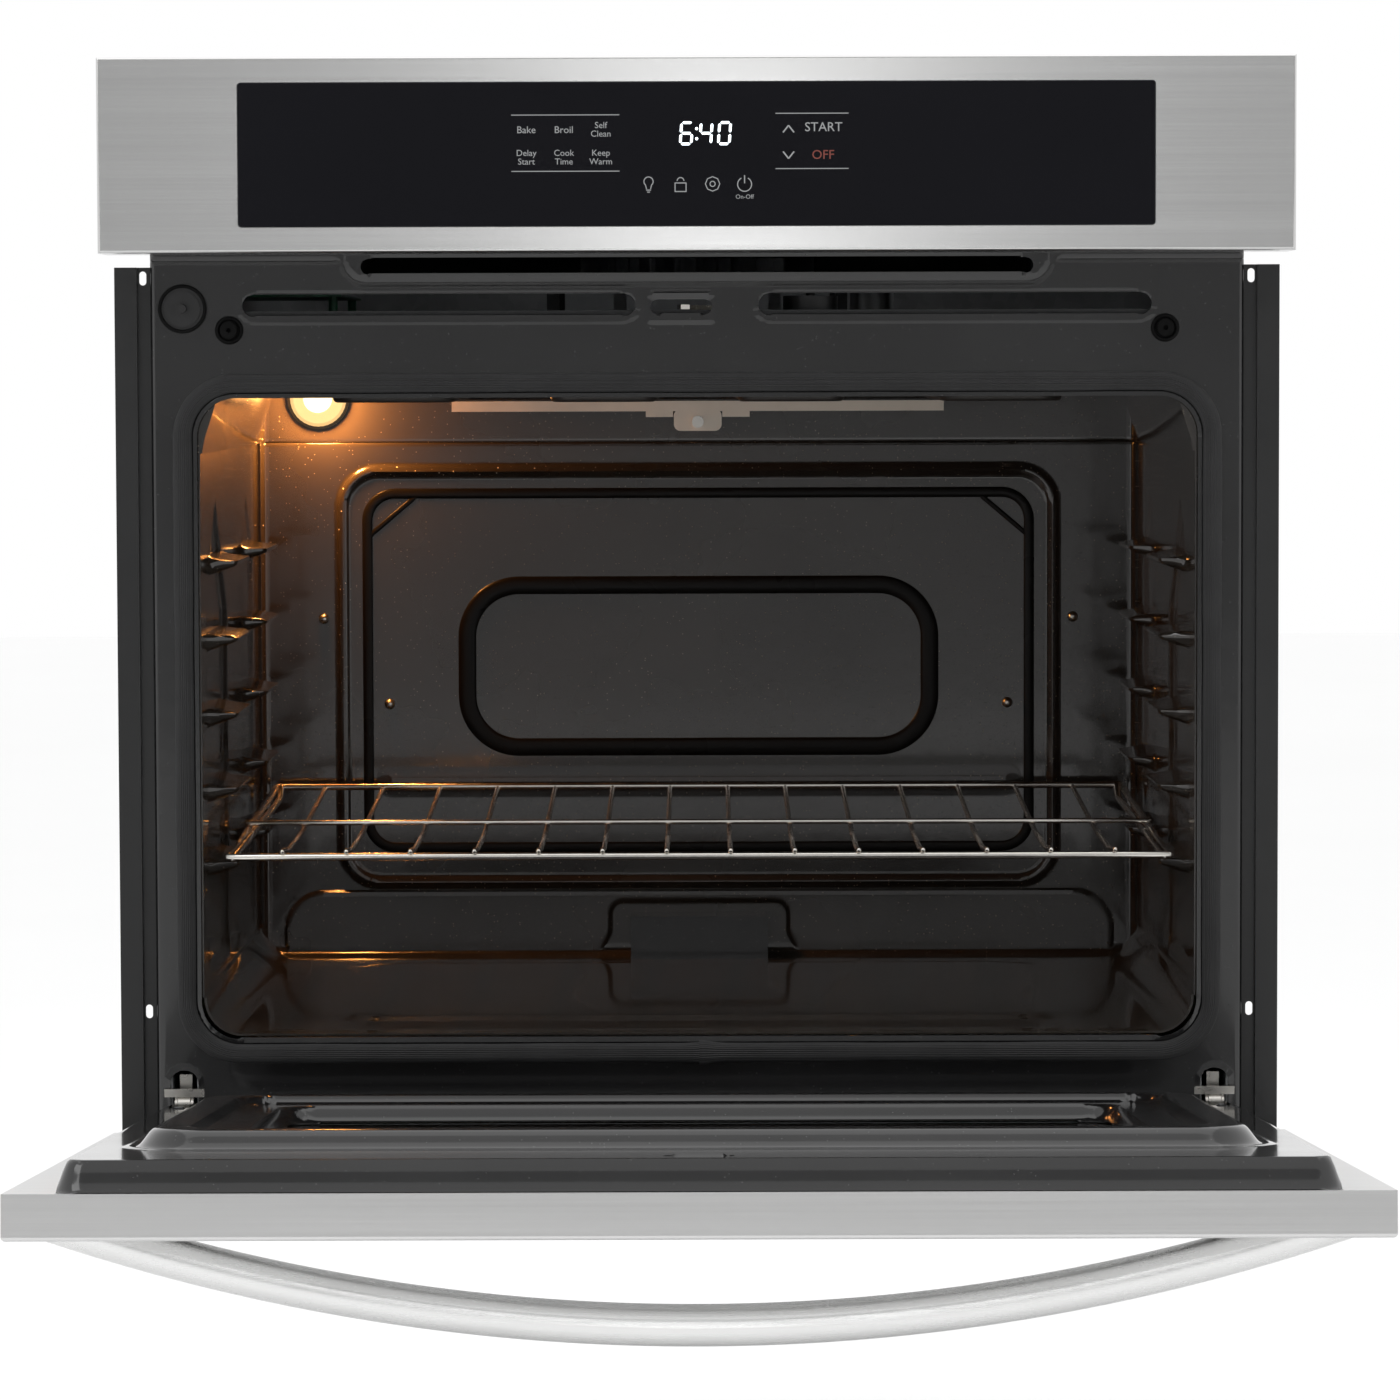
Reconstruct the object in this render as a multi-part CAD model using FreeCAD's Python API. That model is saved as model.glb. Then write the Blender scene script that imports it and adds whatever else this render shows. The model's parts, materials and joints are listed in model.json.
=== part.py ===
import FreeCAD, Part
import math
import os

# Single wall oven, 30 inch.  All sizes in millimetres.
# Origin: centre of the chassis underside.  -Y is the front, +X the right, +Z up.

# --- chassis -------------------------------------------------------------
CHASSIS_W = 700.0
CHASSIS_H = 700.0
CHASSIS_FRONT_Y = -285.0
CHASSIS_BACK_Y = 285.0
SHEET = 1.2
DECK_Z = 553.0

# --- front frame ---------------------------------------------------------
FRAME_Y = -291.0
FRAME_BACK_Y = -289.0
FRAME_HALF_W = 352.0
FRAME_Z0 = 14.0
FRAME_Z1 = 601.0
OPEN_HALF_W = 323.2
OPEN_Z0 = 92.6
OPEN_Z1 = 508.6
OPEN_R = 25.0
LIP_W = 3.0
LIP_H = 1.5
SLOT_X0 = 39.5
SLOT_X1 = 293.5
SLOT_Z0 = 560.8
SLOT_Z1 = 575.4
OUTLET_HALF_W = 217.0
OUTLET_Z0 = 588.0
LATCH_Z = 566.7
LATCH_SLOT_X = -10.2
LATCH_SLOT_HALF_W = 19.9

# --- gasket --------------------------------------------------------------
GASKET_IN = 3.1
GASKET_OUT = 15.9
GASKET_DEPTH = 7.5

# --- cavity --------------------------------------------------------------
CAV_HALF_W = 322.0
CAV_BACK_Y = 187.0
CAV_Z0 = 94.0
CAV_CREASE_Z = 473.0
CAV_Z1 = 530.0
CAV_TOP_HALF_W = 305.0
CAV_R = 25.0
CAV_T = 2.0
LEDGE_TOPS = [118.2, 204.2, 253.7, 303.2, 353.2, 403.2]
LEDGE_TIP_X = 303.0
LEDGE_RUNS = [(-238.0, -118.0), (8.0, 128.0)]

# --- control panel -------------------------------------------------------
PANEL_Y = -343.0
PANEL_HALF_W = 381.0
PANEL_Z0 = 601.0
PANEL_Z1 = 725.0
GLASS_HALF_W = 291.25
GLASS_Z0 = 617.5
GLASS_Z1 = 708.5
GLASS_T = 4.0

# --- side trims ----------------------------------------------------------
TRIM_HALF_W = 376.0
TRIM_Z1 = 593.0
MOUNT_SLOT_X = 358.0
MOUNT_SLOT_Z = [110.0, 586.0]
MOUNT_SLOT_R = 2.3
MOUNT_SLOT_LEN = 9.0

# --- door (drawn closed, then turned open) -------------------------------
DOOR_HALF_W = 381.0
DOOR_Z0 = 18.0
DOOR_Z1 = 597.0
DOOR_RIM_Y = -317.0
DOOR_FACE_Y = -299.0
DOOR_PLATEAU_Y = -288.0
PIVOT_Y = -312.0
PIVOT_Z = 38.0
OPEN_ANGLE = 85.3
HANDLE_R = 1128.25
HANDLE_PROJ = 51.0
HANDLE_SEMI_DEPTH = 11.75
HANDLE_SEMI_HEIGHT = 13.0
HANDLE_Z = 547.0
WINDOW_HALF_W = 255.0
WINDOW_Z0 = 135.0
WINDOW_Z1 = 415.0

# --- hinges --------------------------------------------------------------
HINGE_X = 335.0
ARM_HALF_T = 4.0
ARM_R = 8.0
PIN_R = 3.0
PIN_BORE_R = 3.06
LOCK_Y = -295.4
LOCK_Z = 50.5
LOCK_PIN_R = 1.5
LOCK_BORE_R = 1.56

# --- rack ----------------------------------------------------------------
RACK_Z = 208.0
RACK_FRONT_Y = -257.0
RACK_BACK_Y = 160.0
RACK_MID_Y = -90.0
RACK_RUNNER_Z = 206.9
RACK_HALF_W = 309.0
RACK_BAR_R = 2.5
RACK_WIRE_R = 1.75
RACK_WIRE_PITCH = 42.0
RACK_WIRES = 14

# --- cooling fan, latch, lamp, switch -------------------------------------
FAN_X = 0.0
FAN_Y = 150.0
FAN_SHAFT_R = 4.0
DUCT_Z0 = 583.0
DUCT_Z1 = 640.0
LATCH_X = 30.0
LATCH_Y = -272.0
LATCH_R = 40.0
LAMP_X = -278.0
LAMP_Z = 505.6
LAMP_R = 20.6
SWITCH_X = -332.0
SWITCH_Z = 566.3
BUMPER_X = 302.0
BUMPER_Z = 552.4
PROBE_Z = 512.0
HANGER_SCREW_Z = 487.8
CONDUIT_X = 280.0
CONDUIT_Z = 600.0
CONDUIT_R = 10.0

V = FreeCAD.Vector
X_AXIS = V(1, 0, 0)
Y_AXIS = V(0, 1, 0)
Z_AXIS = V(0, 0, 1)


def box(x0, x1, y0, y1, z0, z1):
    """Box between two corners, given per axis."""
    return Part.makeBox(x1 - x0, y1 - y0, z1 - z0, V(x0, y0, z0))


def cyl_x(y, z, r, x0, x1):
    return Part.makeCylinder(r, x1 - x0, V(x0, y, z), X_AXIS)


def cyl_y(x, z, r, y0, y1):
    return Part.makeCylinder(r, y1 - y0, V(x, y0, z), Y_AXIS)


def cyl_z(x, y, r, z0, z1):
    return Part.makeCylinder(r, z1 - z0, V(x, y, z0), Z_AXIS)


def rr_wire(x0, x1, z0, z1, r, y):
    """Rounded rectangle in the plane at y."""
    k = r * (1 - math.sqrt(0.5))
    edges = [
        Part.makeLine(V(x0 + r, y, z0), V(x1 - r, y, z0)),
        Part.Arc(V(x1 - r, y, z0), V(x1 - k, y, z0 + k), V(x1, y, z0 + r)).toShape(),
        Part.makeLine(V(x1, y, z0 + r), V(x1, y, z1 - r)),
        Part.Arc(V(x1, y, z1 - r), V(x1 - k, y, z1 - k), V(x1 - r, y, z1)).toShape(),
        Part.makeLine(V(x1 - r, y, z1), V(x0 + r, y, z1)),
        Part.Arc(V(x0 + r, y, z1), V(x0 + k, y, z1 - k), V(x0, y, z1 - r)).toShape(),
        Part.makeLine(V(x0, y, z1 - r), V(x0, y, z0 + r)),
        Part.Arc(V(x0, y, z0 + r), V(x0 + k, y, z0 + k), V(x0 + r, y, z0)).toShape(),
    ]
    return Part.Wire(edges)


def rr_prism(x0, x1, z0, z1, r, y0, y1):
    """Rounded rectangle run along Y."""
    face = Part.Face(rr_wire(x0, x1, z0, z1, r, y0))
    return face.extrude(V(0, y1 - y0, 0))


def rr_loft(a, b, ya, yb):
    """Flared block between two rounded rectangles (half width, z0, z1, radius)."""
    wa = rr_wire(-a[0], a[0], a[1], a[2], a[3], ya)
    wb = rr_wire(-b[0], b[0], b[1], b[2], b[3], yb)
    return Part.makeLoft([wa, wb], True, True)


def prism_z(points, z0, z1):
    """Polygon of (x, y) points run along Z."""
    pts = [V(x, y, z0) for x, y in points]
    return Part.Face(Part.makePolygon(pts + [pts[0]])).extrude(V(0, 0, z1 - z0))


def prism_y(points, y0, y1):
    """Polygon of (x, z) points run along Y."""
    pts = [V(x, y0, z) for x, z in points]
    return Part.Face(Part.makePolygon(pts + [pts[0]])).extrude(V(0, y1 - y0, 0))


def rod(points, r, bend):
    """Round rod along a polyline whose corners are bent to a radius."""
    pts = [V(*p) for p in points]
    edges = []
    start = pts[0]
    for i in range(1, len(pts) - 1):
        d0 = (pts[i - 1] - pts[i]).normalize()
        d1 = (pts[i + 1] - pts[i]).normalize()
        half = d0.getAngle(d1) / 2
        cut = bend / math.tan(half)
        p0 = pts[i] + d0 * cut
        p1 = pts[i] + d1 * cut
        mid_dir = (d0 + d1).normalize()
        centre = pts[i] + mid_dir * (bend / math.sin(half))
        edges.append(Part.makeLine(start, p0))
        edges.append(Part.Arc(p0, centre - mid_dir * bend, p1).toShape())
        start = p1
    edges.append(Part.makeLine(start, pts[-1]))
    wire = Part.Wire(edges)
    ring = Part.Wire([Part.makeCircle(r, pts[0], pts[1] - pts[0])])
    return wire.makePipeShell([ring], True, False)


def fuse(shapes):
    out = shapes[0]
    if len(shapes) > 1:
        out = out.multiFuse(shapes[1:])
    return out.removeSplitter()


def cut(shape, tools):
    for tool in tools:
        shape = shape.cut(tool)
    return shape


def mirrored(shape):
    return shape.mirror(V(0, 0, 0), X_AXIS)


def pair(shape):
    """A shape and its mirror image, as two solids."""
    return Part.makeCompound([shape, mirrored(shape)])


def opened(shape):
    """Turns a closed-door shape to the open rest position."""
    out = shape.copy()
    out.rotate(V(0, PIVOT_Y, PIVOT_Z), X_AXIS, OPEN_ANGLE)
    return out


def slot_z(x, zc, r, length, y0, y1):
    """Upright slot through a plate: two half rounds and the flat between."""
    h = length / 2 - r
    body = box(x - r, x + r, y0, y1, zc - h, zc + h)
    return fuse([body, cyl_y(x, zc - h, r, y0, y1), cyl_y(x, zc + h, r, y0, y1)])


parts = {}

# ---------------------------------------------------------------- chassis
half = CHASSIS_W / 2
inner = half - SHEET

pan = box(-half, half, CHASSIS_FRONT_Y, CHASSIS_BACK_Y, 0, 1.5)
upstand = box(inner - SHEET, inner, CHASSIS_FRONT_Y + 2, CHASSIS_BACK_Y - 4, 1.5, 24)
pan = fuse([pan, upstand, mirrored(upstand)])
for i in range(7):
    x = -270 + i * 90
    if abs(x) > 10:
        pan = pan.cut(box(x - 30, x + 30, 150, 156, -1, 3))
        pan = pan.cut(box(x - 30, x + 30, 170, 176, -1, 3))
parts["base_pan"] = pan

side = box(inner, half, CHASSIS_FRONT_Y, CHASSIS_BACK_Y, 1.5, CHASSIS_H - SHEET)
lance = [box(inner - 1, half + 1, 140, 250, 600 + 12 * i, 605 + 12 * i) for i in range(7)]
side = cut(side, lance)
parts["side_panel_right"] = side
parts["side_panel_left"] = mirrored(side)

back_y = CHASSIS_BACK_Y - SHEET
rear = box(-inner, inner, back_y, CHASSIS_BACK_Y, 1.5, CHASSIS_H - SHEET)
ribs = [box(x - 9, x + 9, back_y - 3, back_y, 80, 520) for x in (-220, -75, 75, 220)]
rear = fuse([rear] + ribs)
grooves = [box(x - 7.5, x + 7.5, back_y - 1.5, CHASSIS_BACK_Y + 1, 82, 518)
           for x in (-220, -75, 75, 220)]
louvres = [box(-200 + 60 * i, -160 + 60 * i, 280, 290, z, z + 5)
           for i in range(7) for z in (650, 662, 674)]
rear = cut(rear, grooves + louvres + [cyl_y(CONDUIT_X, CONDUIT_Z, 11.4, 270, 300)])
parts["rear_panel"] = rear

top = box(-half, half, CHASSIS_FRONT_Y, CHASSIS_BACK_Y, CHASSIS_H - SHEET, CHASSIS_H)
top = cut(top, [box(-150 + 45 * i, -120 + 45 * i, 180, 250, 690, 710) for i in range(7)])
parts["top_cover"] = top

vent_x = 120.0
vent_y = -60.0
deck = box(-inner, inner, -287, back_y - 3.2, DECK_Z, DECK_Z + SHEET)
deck = fuse([deck, box(-inner, inner, -287, -285.8, DECK_Z, 564.6)])
deck = cut(deck, [cyl_z(vent_x, vent_y, 15.3, 540, 560), cyl_y(SWITCH_X, SWITCH_Z, 11.2, -290, -280)])
parts["component_deck"] = deck

# ------------------------------------------------------------ front frame
frame = box(-FRAME_HALF_W, FRAME_HALF_W, FRAME_Y, FRAME_BACK_Y, FRAME_Z0, FRAME_Z1)
edges = [e for e in frame.Edges
         if abs(e.BoundBox.YMin - FRAME_Y) < 1e-6 and abs(e.BoundBox.YMax - FRAME_Y) < 1e-6
         and e.BoundBox.ZLength > 100]
frame = frame.makeFillet(1.5, edges)
flange = box(half + 0.05, FRAME_HALF_W, FRAME_BACK_Y, -266, FRAME_Z0, FRAME_Z1 - 2)
lip = rr_prism(-OPEN_HALF_W - LIP_W, OPEN_HALF_W + LIP_W, OPEN_Z0 - LIP_W,
               OPEN_Z1 + LIP_W, OPEN_R + LIP_W, FRAME_Y - LIP_H, FRAME_Y)
slot_r = (SLOT_Z1 - SLOT_Z0) / 2
rim = rr_prism(SLOT_X0 - 3, SLOT_X1 + 3, SLOT_Z0 - 3, SLOT_Z1 + 3, slot_r + 2.9,
               FRAME_Y - 1, FRAME_Y)
lx = LATCH_SLOT_X
ridge_up = rr_prism(lx - 21, lx + 21, 573.6, 576.4, 1.3, FRAME_Y - 1.5, FRAME_Y)
ridge_dn = rr_prism(lx - 21, lx + 21, 557.2, 559.8, 1.2, FRAME_Y - 1.5, FRAME_Y)
arch = fuse([box(HINGE_X - 12, HINGE_X + 12, FRAME_Y - 1, FRAME_Y, 40, 63),
             cyl_y(HINGE_X, 63, 12, FRAME_Y - 1, FRAME_Y)])
frame = fuse([frame, flange, mirrored(flange), lip, rim, mirrored(rim), ridge_up,
              ridge_dn, arch, mirrored(arch)])
opening = rr_prism(-OPEN_HALF_W, OPEN_HALF_W, OPEN_Z0, OPEN_Z1, OPEN_R, -300, -280)
vent = rr_prism(SLOT_X0, SLOT_X1, SLOT_Z0, SLOT_Z1, slot_r - 0.01, -300, -280)
latch_slot = rr_prism(lx - LATCH_SLOT_HALF_W, lx + LATCH_SLOT_HALF_W, LATCH_Z - 4.9,
                      LATCH_Z + 4.9, 4.85, -300, -280)
outlet = rr_prism(-OUTLET_HALF_W, OUTLET_HALF_W, OUTLET_Z0, 598, 4.9, -300, -280)
groove = rr_prism(-231, 231, 579.7, 640, 18, -292, FRAME_Y + 1)
groove = groove.cut(rr_prism(-227, 227, 584.3, 644, 14, -293, FRAME_Y + 2))
arm_slot = fuse([box(HINGE_X - 9, HINGE_X + 9, -300, -280, 24, 63),
                 cyl_y(HINGE_X, 63, 9, -300, -280)])
wells = [cyl_y(SWITCH_X, SWITCH_Z, 11.3, -300, -280)]
wells += [cyl_y(s * BUMPER_X, BUMPER_Z, 4.1, -300, -280) for s in (-1, 1)]
frame = cut(frame, [opening, vent, mirrored(vent), latch_slot, outlet, groove,
                    arm_slot, mirrored(arm_slot)] + wells)
parts["front_frame"] = frame

g_out = rr_prism(-OPEN_HALF_W - GASKET_OUT, OPEN_HALF_W + GASKET_OUT, OPEN_Z0 - GASKET_OUT,
                 OPEN_Z1 + GASKET_OUT, OPEN_R + GASKET_OUT, FRAME_Y - GASKET_DEPTH, FRAME_Y)
g_in = rr_prism(-OPEN_HALF_W - GASKET_IN, OPEN_HALF_W + GASKET_IN, OPEN_Z0 - GASKET_IN,
                OPEN_Z1 + GASKET_IN, OPEN_R + GASKET_IN, -310, -280)
gasket = g_out.cut(g_in)
front_edges = [e for e in gasket.Edges if abs(e.BoundBox.YMax - FRAME_Y + GASKET_DEPTH) < 1e-4]
parts["door_gasket"] = gasket.makeFillet(4.0, front_edges)

# ------------------------------------------------------------ oven cavity
xo = CAV_HALF_W + CAV_T
tube = rr_prism(-xo, xo, CAV_Z0 - CAV_T, 700, CAV_R + CAV_T, FRAME_BACK_Y, CAV_BACK_Y)
hole = rr_prism(-CAV_HALF_W, CAV_HALF_W, CAV_Z0, 690, CAV_R, FRAME_BACK_Y, CAV_BACK_Y)
floor_top = CAV_Z0 + CAV_R
floor = tube.cut(hole).common(box(-400, 400, -300, 300, 80, floor_top))
parts["cavity_floor"] = floor

wall = box(CAV_HALF_W, xo, FRAME_BACK_Y, CAV_BACK_Y, floor_top, CAV_CREASE_Z)
tip = LEDGE_TIP_X
ledges = []
hollows = []
for zt in LEDGE_TOPS:
    for y0, y1 in LEDGE_RUNS:
        ledges.append(prism_y([(CAV_HALF_W + 0.5, zt), (tip + 1.5, zt), (tip, zt - 1.5),
                               (tip, zt - 4), (CAV_HALF_W + 0.5, zt - 12)], y0, y1))
        hollows.append(prism_y([(xo + 1, zt - 1.6), (tip + 2, zt - 1.6), (tip + 2, zt - 3.4),
                                (xo + 1, zt - 10.8)], y0 + 2, y1 - 2))
low = [h for h in ledges if h.BoundBox.ZMin > floor_top]
low_h = [h for h in hollows if h.BoundBox.ZMin > floor_top]
wall = cut(fuse([wall] + low), low_h)
parts["cavity_wall_right"] = wall
parts["cavity_wall_left"] = mirrored(wall)
# The lowest pair of ledges springs from the floor's curved corner.
first = [h for h in ledges if h.BoundBox.ZMin <= floor_top]
parts["cavity_floor"] = fuse([floor] + first + [mirrored(s) for s in first])

t = CAV_T
ceiling = prism_y([(-CAV_HALF_W, CAV_CREASE_Z), (-CAV_TOP_HALF_W, CAV_Z1),
                   (CAV_TOP_HALF_W, CAV_Z1), (CAV_HALF_W, CAV_CREASE_Z),
                   (CAV_HALF_W + t, CAV_CREASE_Z), (CAV_TOP_HALF_W + 1.4, CAV_Z1 + t),
                   (-CAV_TOP_HALF_W - 1.4, CAV_Z1 + t), (-CAV_HALF_W - t, CAV_CREASE_Z)],
                  FRAME_BACK_Y + 1.5, CAV_BACK_Y)
ceiling = ceiling.cut(cyl_z(vent_x, vent_y, 13.8, 515, 540))
flange_plate = rr_prism(-335, 335, 455, 545, 30, FRAME_BACK_Y, FRAME_BACK_Y + 1.5)
mouth = prism_y([(-CAV_HALF_W - 3, 450), (-CAV_HALF_W - 3, CAV_CREASE_Z),
                 (-CAV_HALF_W, CAV_CREASE_Z), (-CAV_TOP_HALF_W, CAV_Z1),
                 (CAV_TOP_HALF_W, CAV_Z1), (CAV_HALF_W, CAV_CREASE_Z),
                 (CAV_HALF_W + 3, CAV_CREASE_Z), (CAV_HALF_W + 3, 450)], -295, -280)
parts["cavity_ceiling"] = fuse([ceiling, flange_plate.cut(mouth)])

yb = CAV_BACK_Y
back = box(-xo, xo, yb, yb + CAV_T, CAV_Z0 - CAV_T, CAV_Z1 + CAV_T)


def ring_y(hw, z0, z1, r, width, y0, y1):
    """Raised band that follows a rounded rectangle."""
    outer = rr_prism(-hw, hw, z0, z1, r, y0, y1)
    return outer.cut(rr_prism(-hw + width, hw - width, z0 + width, z1 - width,
                              r - width, y0 - 1, y1 + 1))


bands = [ring_y(265, 145, 457, 32, 9.5, yb - 2.5, yb),
         ring_y(247, 170, 441, 22, 8, yb - 1.5, yb),
         ring_y(176.5, 242, 375, 44, 13, yb - 2.5, yb)]
cove = prism_y([(-300, 101), (-300, 142), (300, 142), (300, 101), (67, 101), (67, 137),
                (-67, 137), (-67, 101)], yb - 2, yb)
screws = [cyl_y(s * x, z, 4, yb - 3.5, yb) for s in (-1, 1) for x, z in ((275, 344), (227, 281))]
back = fuse([back] + bands + [cove] + screws)
back = cut(back, [cyl_y(LAMP_X, LAMP_Z, 14, 170, 200), cyl_y(30, 508, 3.6, 170, 200),
                  cyl_y(-30, 508, 3.6, 170, 200), cyl_y(230, PROBE_Z, 3.2, 170, 200)])
parts["cavity_back_wall"] = back

wrap = box(-346, 346, -286, 214, 42, 552)
wrap = cut(wrap, [box(-xo - 0.3, xo + 0.3, -290, yb + CAV_T + 0.2, 69, CAV_Z1 + t + 0.2),
                  box(323, 350, -290, -170, 15, 91.5), box(-350, -323, -290, -170, 15, 91.5),
                  cyl_y(LAMP_X, LAMP_Z, 17, 180, 230), cyl_y(30, 508, 6, 180, 230),
                  cyl_y(-30, 508, 6, 180, 230), cyl_y(230, PROBE_Z, 6, 180, 230),
                  cyl_z(vent_x, vent_y, 17, 500, 560), cyl_y(40, 82, 6, 180, 230),
                  cyl_y(-40, 82, 6, 180, 230)])
parts["insulation_wrap"] = wrap

# ------------------------------------------------- side and bottom trims
profile = [(352.05, -287), (361.5, -287), (361.5, -291.5), (TRIM_HALF_W, -291.5),
           (TRIM_HALF_W, -285.2), (374.5, -285.2), (374.5, -290), (363, -290),
           (363, -285.5), (353.5, -285.5), (353.5, -262), (352.05, -262)]
trim = prism_z(profile, FRAME_Z0, TRIM_Z1)
trim = cut(trim, [slot_z(MOUNT_SLOT_X, z, MOUNT_SLOT_R, MOUNT_SLOT_LEN, -300, -280)
                  for z in MOUNT_SLOT_Z])
parts["side_trim_right"] = trim
parts["side_trim_left"] = mirrored(trim)

kick = fuse([box(-TRIM_HALF_W, TRIM_HALF_W, -291, -289.8, -12, 13.8),
             box(-TRIM_HALF_W, TRIM_HALF_W, -289.8, -285.2, -12, -10.8),
             box(-345, 345, -289.8, -285.05, 2, 3.2)])
kick = cut(kick, [box(-330 + 60 * i, -294 + 60 * i, -292, -289, 5, 9) for i in range(11)])
parts["bottom_trim"] = kick

# ---------------------------------------------------------------- heating
broil = [(30, 235, 508), (30, 120, 508), (240, 120, 508), (240, -190, 508), (165, -190, 508),
         (165, 70, 508), (95, 70, 508), (95, -190, 508), (30, -190, 508), (30, 70, 508),
         (-30, 70, 508), (-30, -190, 508), (-95, -190, 508), (-95, 70, 508), (-165, 70, 508),
         (-165, -190, 508), (-240, -190, 508), (-240, 120, 508), (-30, 120, 508),
         (-30, 235, 508)]
parts["broil_element"] = rod(broil, 3.2, 16)

sz = HANGER_SCREW_Z
strip = fuse([box(-180, 180, 177, 178.2, 495.5, 503), box(-180, 180, 178.2, 187, 501.8, 503),
              rr_prism(-17.5, 17.5, sz - 6.7, 497, 5, 177, 178.2),
              box(-38, -18, 177, 178.2, 491.3, 496), box(18, 38, 177, 178.2, 491.3, 496),
              cyl_y(0, sz, 6, 178.2, 187)])
strip = strip.cut(cyl_y(0, sz, 2.6, 170, 190))
parts["broil_hanger"] = strip
parts["broil_hanger_screw"] = fuse([cyl_y(0, sz, 4.4, 174.4, 177), cyl_y(0, sz, 2.5, 177, 187)])

bake = [(40, 240, 82), (40, 110, 82), (240, 110, 82), (240, -210, 82), (150, -210, 82),
        (150, 60, 82), (60, 60, 82), (60, -210, 82), (-60, -210, 82), (-60, 60, 82),
        (-150, 60, 82), (-150, -210, 82), (-240, -210, 82), (-240, 110, 82), (-40, 110, 82),
        (-40, 240, 82)]
parts["bake_element"] = rod(bake, 3.2, 18)
tray = box(-290, 290, -255, 160, 70, 91.9).cut(box(-288.8, 288.8, -253.8, 158.8, 71.2, 95))
tray = cut(tray, [cyl_y(40, 82, 4, 150, 170), cyl_y(-40, 82, 4, 150, 170)])
stays = [box(-270, 270, y, y + 1.2, 71.2, 78.6) for y in (-160, 0)]
parts["bake_element_tray"] = fuse([tray] + stays)

hood = box(-50, 50, 152, 184.8, 95.2, 127).cut(box(-48.8, 48.8, 153.2, 190, 94, 125.8))
lip_bar = box(-50, 50, 149.5, 152, 124, 127)
parts["element_access_cover"] = fuse([hood, lip_bar])

probe = [cyl_y(230, PROBE_Z, 3.0, 135, 235), Part.makeSphere(3.0, V(230, 135, PROBE_Z)),
         cyl_y(230, PROBE_Z, 9, 184.8, 186.9)]
parts["temperature_probe"] = fuse(probe)

# ------------------------------------------------------------------- lamp
socket = fuse([cyl_y(LAMP_X, LAMP_Z, 13.6, 183, 238),
               cyl_y(LAMP_X, LAMP_Z, LAMP_R + 2, 183, 186.9)])
parts["lamp_socket"] = cut(socket, [cyl_y(LAMP_X, LAMP_Z, 9.6, 180, 228)])
bulb = fuse([Part.makeSphere(10.5, V(LAMP_X, 177, LAMP_Z)), cyl_y(LAMP_X, LAMP_Z, 6, 180, 205),
             cyl_y(LAMP_X, LAMP_Z, 9.2, 205, 227.9)])
parts["lamp_bulb"] = bulb
centre = V(LAMP_X, 183, LAMP_Z)
dome = Part.makeSphere(LAMP_R, centre).cut(Part.makeSphere(LAMP_R - 2.2, centre))
parts["lamp_lens"] = dome.common(box(-400, 0, 100, 182.95, 400, 600))

# --------------------------------------------- door switch and bumpers
body = fuse([cyl_y(SWITCH_X, SWITCH_Z, 16.0, -293.5, FRAME_Y),
             cyl_y(SWITCH_X, SWITCH_Z, 11.0, FRAME_Y, -265)])
body = cut(body, [cyl_y(SWITCH_X, SWITCH_Z, 12.9, -294, -292.6).cut(
    cyl_y(SWITCH_X, SWITCH_Z, 11.5, -295, -292)), cyl_y(SWITCH_X, SWITCH_Z, 2.88, -300, -260)])
parts["door_switch_body"] = body
parts["switch_plunger"] = fuse([cyl_y(SWITCH_X, SWITCH_Z, 2.8, -298.6, -262),
                                cyl_y(SWITCH_X, SWITCH_Z, 4.6, -264.8, -262)])
bumper = fuse([cyl_y(BUMPER_X, BUMPER_Z, 9.2, -293.2, FRAME_Y),
               cyl_y(BUMPER_X, BUMPER_Z, 5.4, -298.5, -293.2),
               cyl_y(BUMPER_X, BUMPER_Z, 3.9, FRAME_Y, -287.6)])
bumper = bumper.cut(cyl_y(BUMPER_X, BUMPER_Z, 1.6, -300, -295))
parts["door_bumpers"] = pair(bumper)

# ------------------------------------------------------------- door latch
plate = box(-22, 96, -285.4, -226, 558, 559.5)
posts = [box(x, x + 6, y, y + 6, DECK_Z + SHEET, 558) for x in (-20, 86) for y in (-284, -236)]
post_pin = cyl_z(LATCH_X, LATCH_Y, 3.0, 559.5, 574)
parts["latch_bracket"] = fuse([plate, post_pin] + posts)
motor = fuse([cyl_z(74, -250, 18, 559.6, 574), cyl_z(74, -250, 3, 574, 580),
              box(52, 96, -254, -246, 559.6, 561.2)])
parts["latch_motor"] = motor

band = cyl_z(LATCH_X, LATCH_Y, LATCH_R + 3, LATCH_Z - 1.5, LATCH_Z + 1.5)
band = band.cut(cyl_z(LATCH_X, LATCH_Y, LATCH_R - 3, 550, 580))
far = 80.0


def sector(a0, a1):
    """Wedge about the latch pivot between two angles, in degrees."""
    pts = [(LATCH_X, LATCH_Y)]
    for i in range(7):
        a = math.radians(a0 + (a1 - a0) * i / 6)
        pts.append((LATCH_X + far * math.cos(a), LATCH_Y + far * math.sin(a)))
    return prism_z(pts, 550, 580)


arc = band.common(sector(110, 200))
ang = math.radians(114)
spoke = box(0, LATCH_R, -4, 4, LATCH_Z - 1.5, LATCH_Z + 1.5)
spoke.rotate(V(0, 0, 0), Z_AXIS, math.degrees(ang))
spoke.translate(V(LATCH_X, LATCH_Y, 0))
hub = cyl_z(LATCH_X, LATCH_Y, 7, 561, 571)
parts["latch_hook"] = fuse([arc, spoke, hub]).cut(cyl_z(LATCH_X, LATCH_Y, 3.06, 550, 580))

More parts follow.
